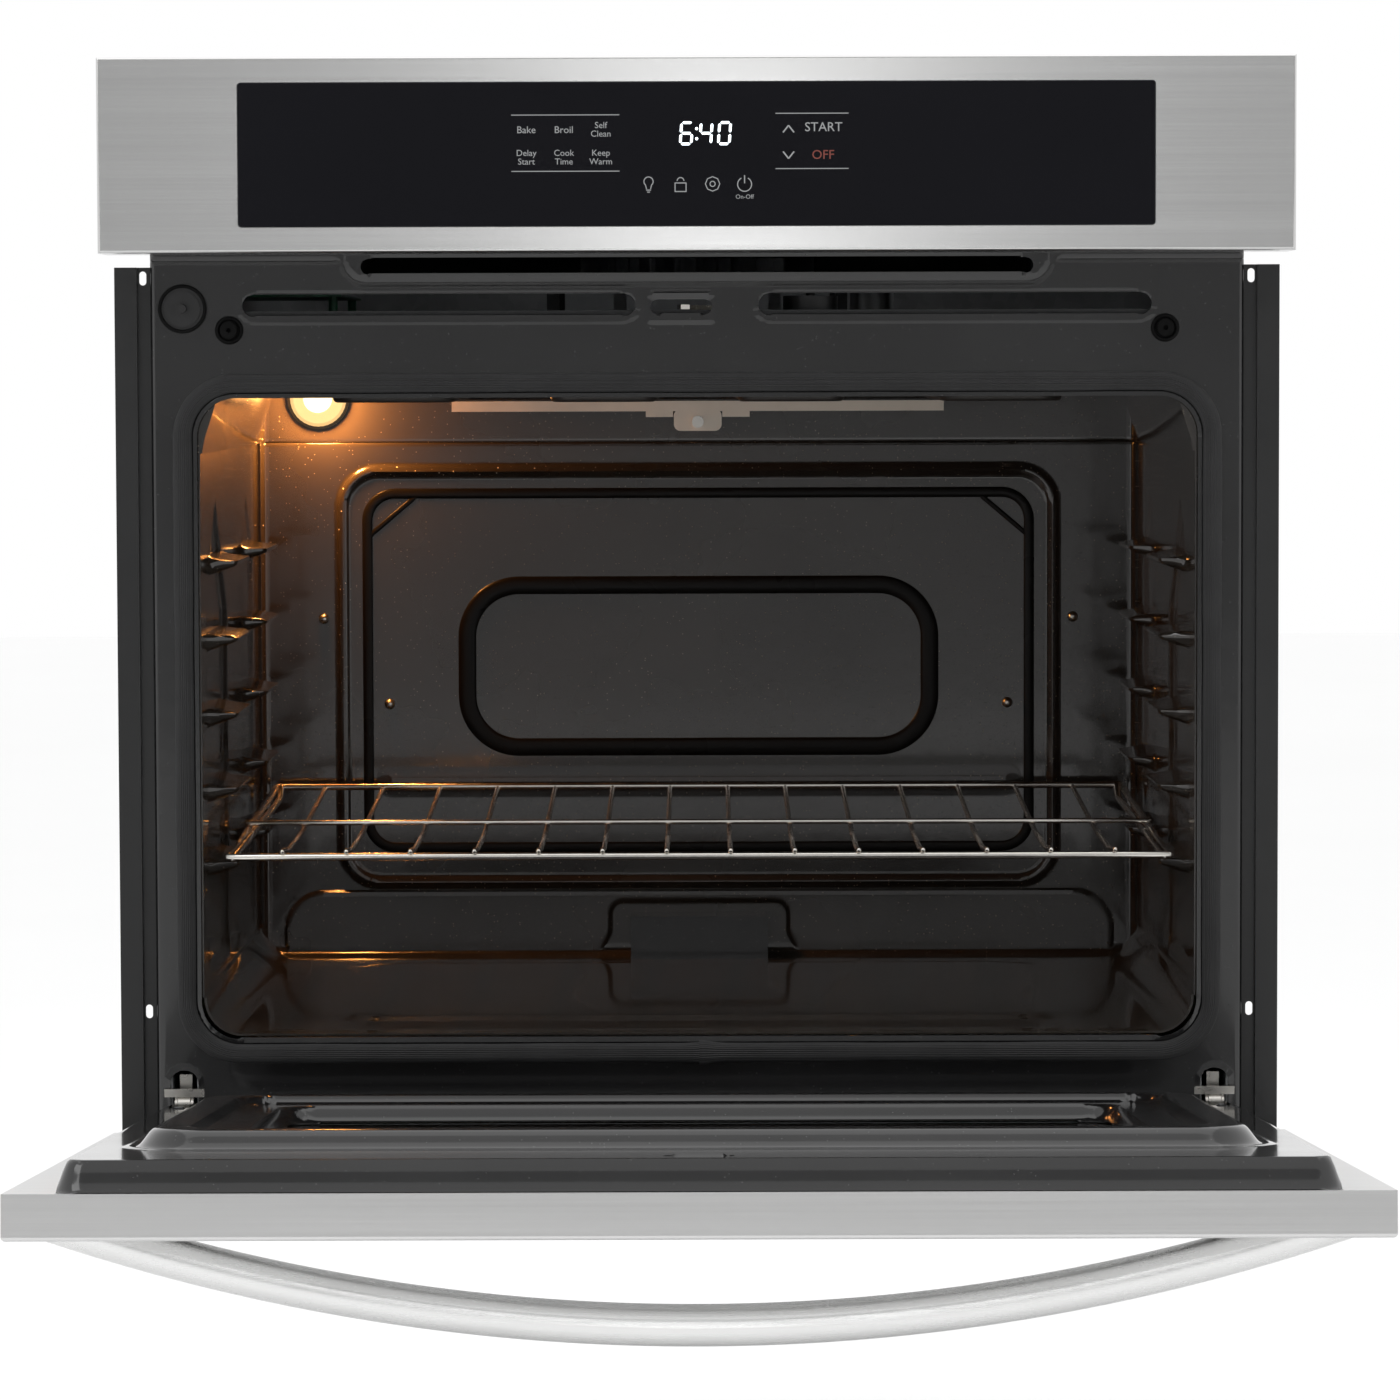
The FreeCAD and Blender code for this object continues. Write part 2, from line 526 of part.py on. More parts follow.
# ----------------------------------------------------------------- hinges
recv = box(HINGE_X - 9.5, HINGE_X + 9.5, FRAME_BACK_Y, -180, 20, 84)
recv = cut(recv, [box(HINGE_X - 8, HINGE_X + 8, -300, -182, 26, 82)])
arm_hole = box(HINGE_X - 8, HINGE_X + 8, -300, -280, 24, 82)
parts["hinge_receivers"] = pair(recv.cut(arm_hole))

x0 = HINGE_X - ARM_HALF_T
x1 = HINGE_X + ARM_HALF_T
arm = fuse([cyl_x(PIVOT_Y, PIVOT_Z, ARM_R, x0, x1),
            box(x0, x1, PIVOT_Y, -200, PIVOT_Z - 8, PIVOT_Z + 8),
            box(x0, x1, -282, -200, PIVOT_Z - 12, PIVOT_Z + 30),
            box(x0, x1, LOCK_Y - 4, LOCK_Y + 4, PIVOT_Z, LOCK_Z),
            cyl_x(LOCK_Y, LOCK_Z, 4, x0, x1)])
arm = cut(arm, [cyl_x(PIVOT_Y, PIVOT_Z, PIN_BORE_R, x0 - 1, x1 + 1),
                cyl_x(LOCK_Y, LOCK_Z, LOCK_BORE_R, x0 - 1, x1 + 1)])
parts["hinge_arms"] = pair(arm)

ear = fuse([cyl_x(LOCK_Y, LOCK_Z, 3.2, x0 - 2, x0 - 0.4),
            box(x0 - 2, x0 - 0.4, LOCK_Y, -292.6, LOCK_Z - 2, LOCK_Z + 5)])
ear2 = ear.copy()
ear2.translate(V(2 * ARM_HALF_T + 2.4, 0, 0))
lock = fuse([ear, ear2, cyl_x(LOCK_Y, LOCK_Z, LOCK_PIN_R, x0 - 2, x1 + 2),
             box(HINGE_X - 13, HINGE_X + 13, -294.2, -292.6, LOCK_Z + 4.2, LOCK_Z + 9.6),
             box(HINGE_X - 13, HINGE_X + 13, -295.6, -294.2, LOCK_Z + 8.2, LOCK_Z + 9.6)])
parts["hinge_lock_right"] = lock
parts["hinge_lock_left"] = mirrored(lock)

# ------------------------------------------------------------ cooling fan
duct = prism_z([(-222, -288), (222, -288), (222, -200), (84, 60),
                (-84, 60), (-222, -200)], DUCT_Z0, DUCT_Z1)
bore = prism_z([(-220.8, -300), (220.8, -300), (220.8, -200.4), (82.8, 59), (82.8, 70),
                (-82.8, 70), (-82.8, 59), (-220.8, -200.4)], DUCT_Z0 + SHEET, DUCT_Z1 - SHEET)
duct = cut(duct, [bore, cyl_z(vent_x, vent_y, 13.8, 570, 590)])
feet = [box(x, x + 8, y, y + 8, DECK_Z + SHEET, DUCT_Z0) for x in (-100, 92) for y in (-180, -20)]
parts["air_duct"] = fuse([duct] + feet)

scroll = fuse([cyl_z(FAN_X, FAN_Y, 85, DUCT_Z0, DUCT_Z1), box(-84, 84, 60.1, FAN_Y, DUCT_Z0, DUCT_Z1)])
hollow = fuse([cyl_z(FAN_X, FAN_Y, 83.8, DUCT_Z0 + SHEET, DUCT_Z1 - SHEET),
               box(-82.8, 82.8, 50, FAN_Y, DUCT_Z0 + SHEET, DUCT_Z1 - SHEET)])
scroll = cut(scroll, [hollow, cyl_z(FAN_X, FAN_Y, 42, DUCT_Z1 - 5, DUCT_Z1 + 5)])
feet = [box(x, x + 8, y, y + 8, DECK_Z + SHEET, DUCT_Z0) for x in (-60, 52) for y in (100, 190)]
parts["fan_housing"] = fuse([scroll] + feet)

can = cyl_z(FAN_X, FAN_Y, 34, 652, 688).cut(cyl_z(FAN_X, FAN_Y, FAN_SHAFT_R + 0.06, 640, 676))
legs = []
for i in range(3):
    leg = fuse([box(30, 60, -5, 5, 652, 654), box(58, 60, -5, 5, DUCT_Z1, 654),
                box(50, 68, -5, 5, DUCT_Z1, DUCT_Z1 + 1.5)])
    leg.rotate(V(0, 0, 0), Z_AXIS, 30 + 120 * i)
    leg.translate(V(FAN_X, FAN_Y, 0))
    legs.append(leg)
parts["fan_motor"] = fuse([can] + legs)

disc = cyl_z(FAN_X, FAN_Y, 66, 594, 595.5)
ring = cyl_z(FAN_X, FAN_Y, 66, 626, 628).cut(cyl_z(FAN_X, FAN_Y, 52, 620, 630))
shaft = cyl_z(FAN_X, FAN_Y, FAN_SHAFT_R, 592, 674)
hub = cyl_z(FAN_X, FAN_Y, 12, 595.5, 612)
blades = []
for i in range(20):
    blade = box(53, 65, -0.8, 0.8, 595, 627)
    blade.rotate(V(53, 0, 0), Z_AXIS, 25)
    blade = blade.common(cyl_z(0, 0, 65.8, 590, 630))
    blade.rotate(V(0, 0, 0), Z_AXIS, 18 * i)
    blade.translate(V(FAN_X, FAN_Y, 0))
    blades.append(blade)
parts["fan_wheel"] = fuse([disc, ring, shaft, hub] + blades)

tube = cyl_z(vent_x, vent_y, 15, CAV_Z1 + t, DUCT_Z0).cut(cyl_z(vent_x, vent_y, 13.8, 500, 600))
parts["vent_tube"] = tube

# ------------------------------------------------- wiring in the top bay
board = box(-338, -236, -190, 20, 575, 576.6)
relays = [box(-330, -310, y, y + 16, 576.6, 592) for y in (-180, -150, -120, -90)]
relays += [box(-290, -256, -170, -130, 576.6, 600), box(-290, -262, -60, -20, 576.6, 588)]
feet = [cyl_z(x, y, 3, DECK_Z + SHEET, 575) for x in (-332, -242) for y in (-184, 14)]
parts["relay_board"] = fuse([board] + relays + feet)
block = box(262, 322, 256, 283.7, 630, 660)
studs = [cyl_y(x, 645, 3, 248, 256) for x in (272, 292, 312)]
parts["terminal_block"] = fuse([block] + studs)
conduit = fuse([cyl_y(CONDUIT_X, CONDUIT_Z, 11.3, 276, 300),
                cyl_y(CONDUIT_X, CONDUIT_Z, 15, 285, 288),
                cyl_y(CONDUIT_X, CONDUIT_Z, 15, 279.5, 283.8)])
parts["conduit_connector"] = conduit.cut(cyl_y(CONDUIT_X, CONDUIT_Z, CONDUIT_R, 270, 305))

# ---------------------------------------------------------- control panel
shell = box(-PANEL_HALF_W, PANEL_HALF_W, PANEL_Y, -288.3, PANEL_Z0, PANEL_Z1)
edges = [e for e in shell.Edges if abs(e.BoundBox.YMax - PANEL_Y) < 1e-6]
shell = shell.makeFillet(2.0, edges)
shell = shell.cut(box(-PANEL_HALF_W + SHEET, PANEL_HALF_W - SHEET, PANEL_Y + SHEET, -280,
                      PANEL_Z0 + SHEET, PANEL_Z1 - SHEET))
window = rr_prism(-GLASS_HALF_W - 0.4, GLASS_HALF_W + 0.4, GLASS_Z0 - 0.4, GLASS_Z1 + 0.4, 2.4,
                  PANEL_Y - 5, PANEL_Y + 5)
parts["control_fascia"] = shell.cut(window)
glass = rr_prism(-GLASS_HALF_W, GLASS_HALF_W, GLASS_Z0, GLASS_Z1, 2.0, PANEL_Y - 0.2,
                 PANEL_Y - 0.2 + GLASS_T)
edges = [e for e in glass.Edges if abs(e.BoundBox.YMax - PANEL_Y + 0.2) < 1e-6]
parts["control_glass"] = glass.makeFillet(0.5, edges)

gy = PANEL_Y - 0.2 + GLASS_T
ring = box(-305, 305, gy, gy + 1.2, 610, 716).cut(box(-282, 282, gy - 1, gy + 2, 626, 700))
plate = box(-378, 378, -289.6, -288.4, PANEL_Z0 + SHEET, PANEL_Z1 - SHEET)
legs = [box(x, x + 8, gy, -289, z, z + 1.5) for x in (-300, 292) for z in (612, 712)]
bracket = fuse([ring, plate] + legs)
bracket = bracket.cut(box(-20, 20, -295, -280, 650, 690))
parts["control_bracket"] = bracket
board = box(-240, 240, -326, -324.4, 622, 704)
chips = [box(x, x + 18, -324.4, -318, 640, 660) for x in (-180, -60, 90, 180)]
spacers = [cyl_y(x, z, 3, -324.4, -289.6) for x in (-230, 230) for z in (628, 698)]
display = box(-32, 34, -338, -326, 652, 690)
parts["control_board"] = fuse([board, display] + chips + spacers)

# ------------------------------------------------------------------- door
HINGE_NOTCH = box(HINGE_X - 6.6, HINGE_X + 6.6, -326, -280, 10, 62)
notches = [HINGE_NOTCH, mirrored(HINGE_NOTCH)]

skin = box(-DOOR_HALF_W, DOOR_HALF_W, PANEL_Y, DOOR_RIM_Y, DOOR_Z0, DOOR_Z1)
edges = [e for e in skin.Edges if abs(e.BoundBox.YMax - PANEL_Y) < 1e-6]
skin = skin.makeFillet(2.5, edges)
room = box(-DOOR_HALF_W + SHEET, DOOR_HALF_W - SHEET, PANEL_Y + SHEET, DOOR_RIM_Y - SHEET,
           DOOR_Z0 + SHEET, DOOR_Z1 - SHEET)
rim_hole = box(-347, 347, -330, -300, 26, 589)
window = rr_prism(-WINDOW_HALF_W - 0.4, WINDOW_HALF_W + 0.4, WINDOW_Z0 - 0.4, WINDOW_Z1 + 0.4,
                  10.4, -350, -335)
rim_slots = [box(365, 376, -320, -315, 262, 265), box(355, 362, -320, -315, 262, 265)]
rim_slots += [mirrored(s) for s in rim_slots]
skin = cut(skin, [room, rim_hole, window] + rim_slots + notches)
parts["door_outer_skin"] = opened(skin)
pane = rr_prism(-WINDOW_HALF_W, WINDOW_HALF_W, WINDOW_Z0, WINDOW_Z1, 10, PANEL_Y - 0.1,
                PANEL_Y + 3.9)
parts["door_outer_glass"] = opened(pane)

# Inner liner: two stepped plateaus with a stepped window recess, as thin sheet.
step1 = rr_loft((352, 20, 595, 14), (343, 30, 588, 12), DOOR_RIM_Y, DOOR_FACE_Y)
step2 = rr_loft((320, 97, 505, 34), (309, 106, 496, 30), DOOR_FACE_Y - 0.5, DOOR_PLATEAU_Y)
well1 = rr_loft((288, 125, 477, 24), (290, 123, 479, 26), DOOR_PLATEAU_Y - 5, DOOR_PLATEAU_Y + 1)
well2 = rr_loft((254, 159, 443, 18), (261, 152, 450, 22), -305.5, DOOR_PLATEAU_Y - 5)
outer = fuse([step1, step2]).cut(well1).cut(well2)
s = SHEET
in1 = rr_loft((352 - s, 20 + s, 595 - s, 13), (343 - s, 30 + s, 588 - s, 11), DOOR_RIM_Y,
              DOOR_FACE_Y - s)
in2 = rr_loft((320 - s, 97 + s, 505 - s, 33), (309 - s, 106 + s, 496 - s, 29),
              DOOR_FACE_Y - 0.5 - s, DOOR_PLATEAU_Y - s)
w1 = rr_loft((288 + s, 125 - s, 477 + s, 25), (290 + s, 123 - s, 479 + s, 27),
             DOOR_PLATEAU_Y - 5 - s, DOOR_PLATEAU_Y + 1)
w2 = rr_prism(-261 - s, 261 + s, 152 - s, 450 + s, 23, -304.2, DOOR_PLATEAU_Y - 5 - s)
hollow = fuse([in1, in2]).cut(w1).cut(w2)
liner = outer.cut(hollow)
liner = liner.common(box(-400, 400, DOOR_RIM_Y, -280, 0, 600))
catch = rr_prism(-20, 20, LATCH_Z - 5, LATCH_Z + 5, 4.4, -310, -290)
liner = cut(liner, [catch] + notches)
parts["door_inner_liner"] = opened(liner)

panes = rr_prism(-262, 262, 151, 451, 8, -308.6, -304.6)
parts["door_window_inner"] = opened(panes)
panes = rr_prism(-262, 262, 151, 451, 8, -326, -322)
parts["door_window_middle"] = opened(panes)
holder = box(-275, 275, -338, -304.4, 140, 462)
holder = cut(holder, [box(-250, 250, -350, -300, 163, 439),
                      box(-262.3, 262.3, -308.8, -300, 150.7, 451.3),
                      box(-262.3, 262.3, -326.2, -321.8, 150.7, 451.3),
                      box(-268, 268, -321, -309.6, 145, 457), box(-268, 268, -340, -327, 145, 457)])
parts["door_window_frame"] = opened(holder)

pad = box(-336, 336, -336, -301.5, 34, 580).cut(box(-286, 286, -340, -290, 128, 474))
pad = cut(pad, [box(321, 350, -340, -290, 20, 222), box(-350, -321, -340, -290, 20, 222),
                box(-30, 62, -322, -290, 545, 590)])
parts["door_insulation"] = opened(pad)

ring_c = V(0, PANEL_Y - HANDLE_PROJ + HANDLE_R, HANDLE_Z)
ell = Part.Ellipse(V(0, 0, 0), HANDLE_SEMI_HEIGHT, HANDLE_SEMI_DEPTH).toShape()
ell = Part.Wire([ell])
ell.rotate(V(0, 0, 0), Y_AXIS, -90)
ell.translate(V(0, PANEL_Y - HANDLE_PROJ, HANDLE_Z))
bar = Part.Face(ell)
bar.rotate(ring_c, Z_AXIS, -22)
bar = bar.revolve(ring_c, Z_AXIS, 44)
bar = bar.common(box(-500, 500, -450, PANEL_Y, 500, 600))
parts["door_handle"] = opened(bar)

cheek = fuse([box(-1.25, 1.25, -340, -308, 33, 205), cyl_x(PIVOT_Y, PIVOT_Z, 5.4, -1.25, 1.25)])
inner_cheek = cheek.copy()
inner_cheek.translate(V(HINGE_X - 7.85, 0, 0))
outer_cheek = cheek.copy()
outer_cheek.translate(V(HINGE_X + 7.85, 0, 0))
web = box(HINGE_X - 9.1, HINGE_X + 9.1, -340, -338, 33, 205)
pin = cyl_x(PIVOT_Y, PIVOT_Z, PIN_R, HINGE_X - 9.1, HINGE_X + 9.1)
hinge = fuse([inner_cheek, outer_cheek, web, pin])
parts["hinge_bodies"] = opened(pair(hinge))
coils = [Part.makeTorus(5.0, 0.9, V(HINGE_X, -324, 70 + 2.6 * i), Z_AXIS) for i in range(44)]
stem = [cyl_z(HINGE_X, -324, 4.3, 66, 190), box(HINGE_X - 6.5, HINGE_X + 6.5, -330, -318, 190, 193)]
parts["hinge_springs"] = opened(pair(fuse(coils + stem)))

# ------------------------------------------------------------------- rack
z = RACK_Z
bar = RACK_BAR_R
wire = RACK_WIRE_R
fy = RACK_FRONT_Y
by = RACK_BACK_Y
knee_y = fy + 51
wires = [cyl_x(fy, z, bar, -RACK_HALF_W, RACK_HALF_W),
         cyl_x(RACK_MID_Y, z + 8.6, 1.8, -RACK_HALF_W, RACK_HALF_W),
         cyl_x(by, z + 14, bar, -RACK_HALF_W, RACK_HALF_W)]
wires += [Part.makeSphere(bar + 0.15, V(sx * RACK_HALF_W, y, zz)) for sx in (-1, 1)
          for y, zz in ((fy, z), (by, z + 14))]
for sx in (-1, 1):
    x = sx * RACK_HALF_W
    wires.append(rod([(x, fy, z), (x, knee_y, z + 8), (x, by, z + 14)], bar - 0.1, 10))
    x = sx * (RACK_HALF_W - 4)
    low = RACK_RUNNER_Z
    wires.append(rod([(x, fy, low), (x, by - 16, low), (x, by - 0.5, z + 14)], bar - 0.2, 8))
for i in range(RACK_WIRES):
    x = (i - (RACK_WIRES - 1) / 2) * RACK_WIRE_PITCH
    wires.append(rod([(x, fy - 2.6, z + 3.6), (x, knee_y, z + 11), (x, by + 0.3, z + 13)],
                     wire, 12))
parts["oven_rack"] = fuse(wires)

# ----------------------------------------------------------------- export
os.makedirs("parts", exist_ok=True)
for name, shape in parts.items():
    shape.exportStep("parts/" + name + ".step")
    print(name, len(shape.Solids), shape.isValid(), round(shape.Volume / 1000.0, 2))
print(len(parts), "nodes")
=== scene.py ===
import json
import math

import bmesh
import bpy
import numpy as np
from mathutils import Matrix, Vector, noise


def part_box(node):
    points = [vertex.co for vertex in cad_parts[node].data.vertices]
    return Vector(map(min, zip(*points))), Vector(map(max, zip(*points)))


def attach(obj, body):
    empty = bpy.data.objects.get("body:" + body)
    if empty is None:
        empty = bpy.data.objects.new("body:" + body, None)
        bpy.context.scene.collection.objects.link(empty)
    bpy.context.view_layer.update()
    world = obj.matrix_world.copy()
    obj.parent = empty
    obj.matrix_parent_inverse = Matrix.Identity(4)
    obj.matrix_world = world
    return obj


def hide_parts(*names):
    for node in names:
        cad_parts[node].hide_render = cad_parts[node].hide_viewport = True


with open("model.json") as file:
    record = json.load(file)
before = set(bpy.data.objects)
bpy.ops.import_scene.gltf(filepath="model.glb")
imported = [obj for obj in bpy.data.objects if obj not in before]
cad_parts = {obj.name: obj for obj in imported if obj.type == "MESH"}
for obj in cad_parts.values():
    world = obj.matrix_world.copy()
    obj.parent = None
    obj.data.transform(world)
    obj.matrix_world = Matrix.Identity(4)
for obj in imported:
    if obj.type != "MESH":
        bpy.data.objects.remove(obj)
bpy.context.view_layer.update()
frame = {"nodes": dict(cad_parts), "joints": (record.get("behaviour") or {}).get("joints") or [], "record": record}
NODES = frame["nodes"]
SLOT_OF = {s["node"]: s["material_slot"] for s in frame["record"]["subparts"]}
JOINTS = {j["name"]: j for j in frame["joints"]}
MM = 0.001

# ------------------------------------------------------------ node helpers


class Nodes:
    """Short calls for building a material's node tree."""

    def __init__(self, name):
        self.mat = bpy.data.materials.new(name)
        self.mat.use_nodes = True
        self.tree = self.mat.node_tree
        self.tree.nodes.clear()
        self.out = self.tree.nodes.new("ShaderNodeOutputMaterial")
        self.coord = self.tree.nodes.new("ShaderNodeTexCoord")

    def put(self, kind, **inputs):
        node = self.tree.nodes.new("ShaderNode" + kind)
        for key, value in inputs.items():
            if hasattr(node, key) and not key[0].isupper():
                setattr(node, key, value)
                continue
            sock = node.inputs[int(key[1:])] if key[0] == "i" and key[1:].isdigit() else \
                node.inputs[key.replace("_", " ")]
            if isinstance(value, bpy.types.NodeSocket):
                self.tree.links.new(value, sock)
            else:
                sock.default_value = value
        return node

    def where(self, scale=(1, 1, 1)):
        return self.put("Mapping", Vector=self.coord.outputs["Object"], Scale=scale).outputs["Vector"]

    def noise(self, vector, scale, detail=3.0, rough=0.55):
        n = self.put("TexNoise", Vector=vector, Scale=scale, Detail=detail, Roughness=rough)
        return n.outputs["Fac"]

    def ramp(self, fac, stops):
        r = self.put("ValToRGB", Fac=fac)
        els = r.color_ramp.elements
        while len(els) < len(stops):
            els.new(0.5)
        for e, (pos, col) in zip(els, stops):
            e.position = pos
            e.color = tuple(col) + (1,) if len(col) == 3 else col
        return r.outputs["Color"]

    def remap(self, fac, a, b, c, d):
        m = self.put("MapRange", Value=fac, From_Min=a, From_Max=b, To_Min=c, To_Max=d)
        return m.outputs["Result"]

    def math(self, op, a, b=0.0):
        return self.put("Math", operation=op, i0=a, i1=b).outputs[0]

    def mix(self, fac, a, b):
        m = self.tree.nodes.new("ShaderNodeMix")
        m.data_type = "RGBA"
        for sock, value in ((m.inputs[0], fac), (m.inputs[6], a), (m.inputs[7], b)):
            if isinstance(value, bpy.types.NodeSocket):
                self.tree.links.new(value, sock)
            elif sock is m.inputs[0]:
                sock.default_value = value
            else:
                sock.default_value = tuple(value) + (1,) if len(value) == 3 else value
        return m.outputs[2]

    def bump(self, height, strength, distance=0.001):
        return self.put("Bump", Height=height, Strength=strength, Distance=distance).outputs[0]

    def finish(self, **inputs):
        p = self.put("BsdfPrincipled", **inputs)
        self.tree.links.new(p.outputs[0], self.out.inputs[0])
        return self.mat


def brushed(name, tint, along, rough=(0.26, 0.42)):
    """Brushed metal whose grain runs along one axis (0, 1 or 2)."""
    n = Nodes(name)
    scale = [900.0, 900.0, 900.0]
    scale[along] = 3.0
    fine = n.noise(n.where(scale), 1.0, 4.0, 0.6)
    scale = [110.0, 110.0, 110.0]
    scale[along] = 1.2
    broad = n.noise(n.where(scale), 1.0, 2.0, 0.5)
    cloud = n.noise(n.where(), 5.0, 2.0, 0.5)
    both = n.math("ADD", n.math("MULTIPLY", fine, 0.6), n.math("MULTIPLY", broad, 0.4))
    colour = n.ramp(both, [(0.3, [c * 0.965 for c in tint]), (0.7, [min(c * 1.03, 1) for c in tint])])
    smudge = n.mix(n.remap(cloud, 0.35, 0.7, 0.0, 0.18), colour, [c * 0.93 for c in tint])
    return n.finish(Base_Color=smudge, Metallic=1.0,
                    Roughness=n.remap(both, 0.3, 0.7, rough[0], rough[1]),
                    Normal=n.bump(fine, 0.05, 0.0004))


def enamel(name, base, speck, rough=0.12, speck_share=0.035, coat=0.4, glints=0.0, lit_from=None):
    """Glossy vitreous enamel with fine pale specks; with lit_from, painted glints round that lamp point."""
    n = Nodes(name)
    v = n.put("TexVoronoi", Vector=n.where(), Scale=430.0)
    dot = n.math("LESS_THAN", v.outputs["Distance"], 0.16)
    pick = n.put("SeparateColor", Color=v.outputs["Color"]).outputs[0]
    rare = n.math("LESS_THAN", pick, speck_share)
    spots = n.math("MULTIPLY", dot, rare)
    cloud = n.noise(n.where(), 9.0, 3.0)
    ground = n.ramp(cloud, [(0.3, [c * 0.8 for c in base]), (0.75, [c * 1.25 for c in base])])
    peel = n.noise(n.where(), 85.0, 2.0, 0.4)
    height = n.math("ADD", n.math("MULTIPLY", peel, 0.35), n.math("MULTIPLY", spots, 1.0))
    if glints:
        grit = n.noise(n.where(), 700.0, 1.0, 0.4)
        sharp = n.remap(grit, 0.68, 0.78, 0.0, glints)
        height = n.math("ADD", height, sharp)
    colour = n.mix(n.math("MULTIPLY", spots, 0.85), ground, speck)
    if lit_from:
        # painted glints: bright flecks painted into the colour close to the lamp, fading out with distance from it
        glint_cells = n.put("TexVoronoi", Vector=n.where(), Scale=230.0)
        small = n.math("LESS_THAN", glint_cells.outputs["Distance"], 0.12)
        tone = n.put("SeparateColor", Color=glint_cells.outputs["Color"]).outputs[1]
        few = n.math("LESS_THAN", tone, 0.3)
        away = n.put("VectorMath", operation="DISTANCE", i0=n.where(), i1=lit_from).outputs["Value"]
        near = n.remap(away, 0.04, 0.24, 1.0, 0.0)
        painted_glint = n.math("MULTIPLY", n.math("MULTIPLY", small, few), near)
        colour = n.mix(painted_glint, colour, (0.95, 0.85, 0.7))
    return n.finish(Base_Color=colour,
                    Roughness=n.remap(cloud, 0.3, 0.7, rough * 0.8, rough * 1.3),
                    Coat_Weight=coat, Coat_Roughness=0.05,
                    Normal=n.bump(height, 0.16, 0.0012))


def coated(name, base, rough, grain=0.1, metallic=0.0, scale=420.0, vary=0.15, spec=0.5):
    """Painted, moulded or cast surface with a fine grain."""
    n = Nodes(name)
    grain_tex = n.noise(n.where(), scale, 3.0)
    cloud = n.noise(n.where(), 14.0, 3.0)
    colour = n.ramp(cloud, [(0.3, [c * (1 - vary) for c in base]),
                            (0.7, [min(c * (1 + vary), 1) for c in base])])
    return n.finish(Base_Color=colour, Metallic=metallic,
                    Roughness=n.remap(cloud, 0.3, 0.7, rough * 0.85, min(rough * 1.15, 1)),
                    Specular_IOR_Level=spec, Normal=n.bump(grain_tex, grain, 0.0006))


def galvanised(name):
    n = Nodes(name)
    v = n.put("TexVoronoi", Vector=n.where(), Scale=125.0)
    tone = n.put("SeparateColor", Color=v.outputs["Color"]).outputs[0]
    cloud = n.noise(n.where(), 6.0, 3.0)
    mixed = n.math("ADD", n.math("MULTIPLY", tone, 0.35), n.math("MULTIPLY", cloud, 0.65))
    colour = n.ramp(mixed, [(0.25, (0.40, 0.41, 0.42)), (0.75, (0.50, 0.51, 0.52))])
    return n.finish(Base_Color=colour, Metallic=0.85, Roughness=n.remap(mixed, 0.2, 0.8, 0.34, 0.5),
                    Normal=n.bump(tone, 0.04, 0.0005))


def chrome(name, tint, rough=0.12):
    n = Nodes(name)
    cloud = n.noise(n.where(), 60.0, 3.0)
    colour = n.ramp(cloud, [(0.3, [c * 0.9 for c in tint]), (0.7, tint)])
    return n.finish(Base_Color=colour, Metallic=1.0,
                    Roughness=n.remap(cloud, 0.3, 0.7, rough * 0.8, rough * 1.5),
                    Normal=n.bump(cloud, 0.03, 0.0005))


def black_glass(name, base=(0.006, 0.006, 0.008), rough=0.03):
    n = Nodes(name)
    cloud = n.noise(n.where(), 4.0, 2.0)
    colour = n.ramp(cloud, [(0.3, base), (0.7, [c * 1.3 for c in base])])
    return n.finish(Base_Color=colour, Roughness=n.remap(cloud, 0.3, 0.7, rough, rough * 1.8),
                    Specular_IOR_Level=0.12)


def clear_glass(name, tint, alpha):
    n = Nodes(name)
    cloud = n.noise(n.where(), 12.0, 2.0)
    colour = n.ramp(cloud, [(0.3, tint), (0.7, [min(c * 1.08, 1) for c in tint])])
    return n.finish(Base_Color=colour, Roughness=n.remap(cloud, 0.3, 0.7, 0.01, 0.05), Alpha=alpha,
                    Specular_IOR_Level=0.6)


def glowing(name, colour, strength, alpha=1.0, lit=True):
    n = Nodes(name)
    cloud = n.noise(n.where(), 200.0, 2.0)
    glow = n.ramp(cloud, [(0.2, [c * 0.95 for c in colour]), (0.8, colour)])
    base = glow if lit else n.ramp(cloud, [(0.2, (0.01, 0.008, 0.006)), (0.8, (0.02, 0.016, 0.012))])
    return n.finish(Base_Color=base, Roughness=0.4, Emission_Color=glow, Emission_Strength=strength,
                    Alpha=alpha)


def rope_material(name):
    """Knitted rope: dark grey, ribs and stitches in the bump."""
    n = Nodes(name)
    fibre = n.noise(n.where(), 1500.0, 3.0)
    broad = n.noise(n.where(), 40.0, 3.0)
    knit = n.put("TexWave", Vector=n.coord.outputs["UV"], Scale=1.0, Distortion=0.4, Detail=1.0)
    knit.bands_direction = "X"
    both = n.math("ADD", n.math("MULTIPLY", knit.outputs["Fac"], 0.6), n.math("MULTIPLY", fibre, 0.6))
    colour = n.ramp(n.math("ADD", n.math("MULTIPLY", both, 0.6), n.math("MULTIPLY", broad, 0.4)),
                    [(0.3, (0.011, 0.011, 0.0115)), (0.7, (0.034, 0.034, 0.035))])
    return n.finish(Base_Color=colour, Roughness=0.72, Sheen_Weight=0.08, Sheen_Roughness=0.4,
                    Normal=n.bump(both, 0.35, 0.0006))


def wool(name):
    n = Nodes(name)
    fibre = n.noise(n.where((1, 1, 4)), 260.0, 5.0)
    broad = n.noise(n.where(), 12.0, 3.0)
    colour = n.ramp(n.math("ADD", n.math("MULTIPLY", fibre, 0.6), n.math("MULTIPLY", broad, 0.4)),
                    [(0.3, (0.62, 0.56, 0.36)), (0.7, (0.88, 0.84, 0.68))])
    return n.finish(Base_Color=colour, Roughness=0.95, Normal=n.bump(fibre, 0.5, 0.003))


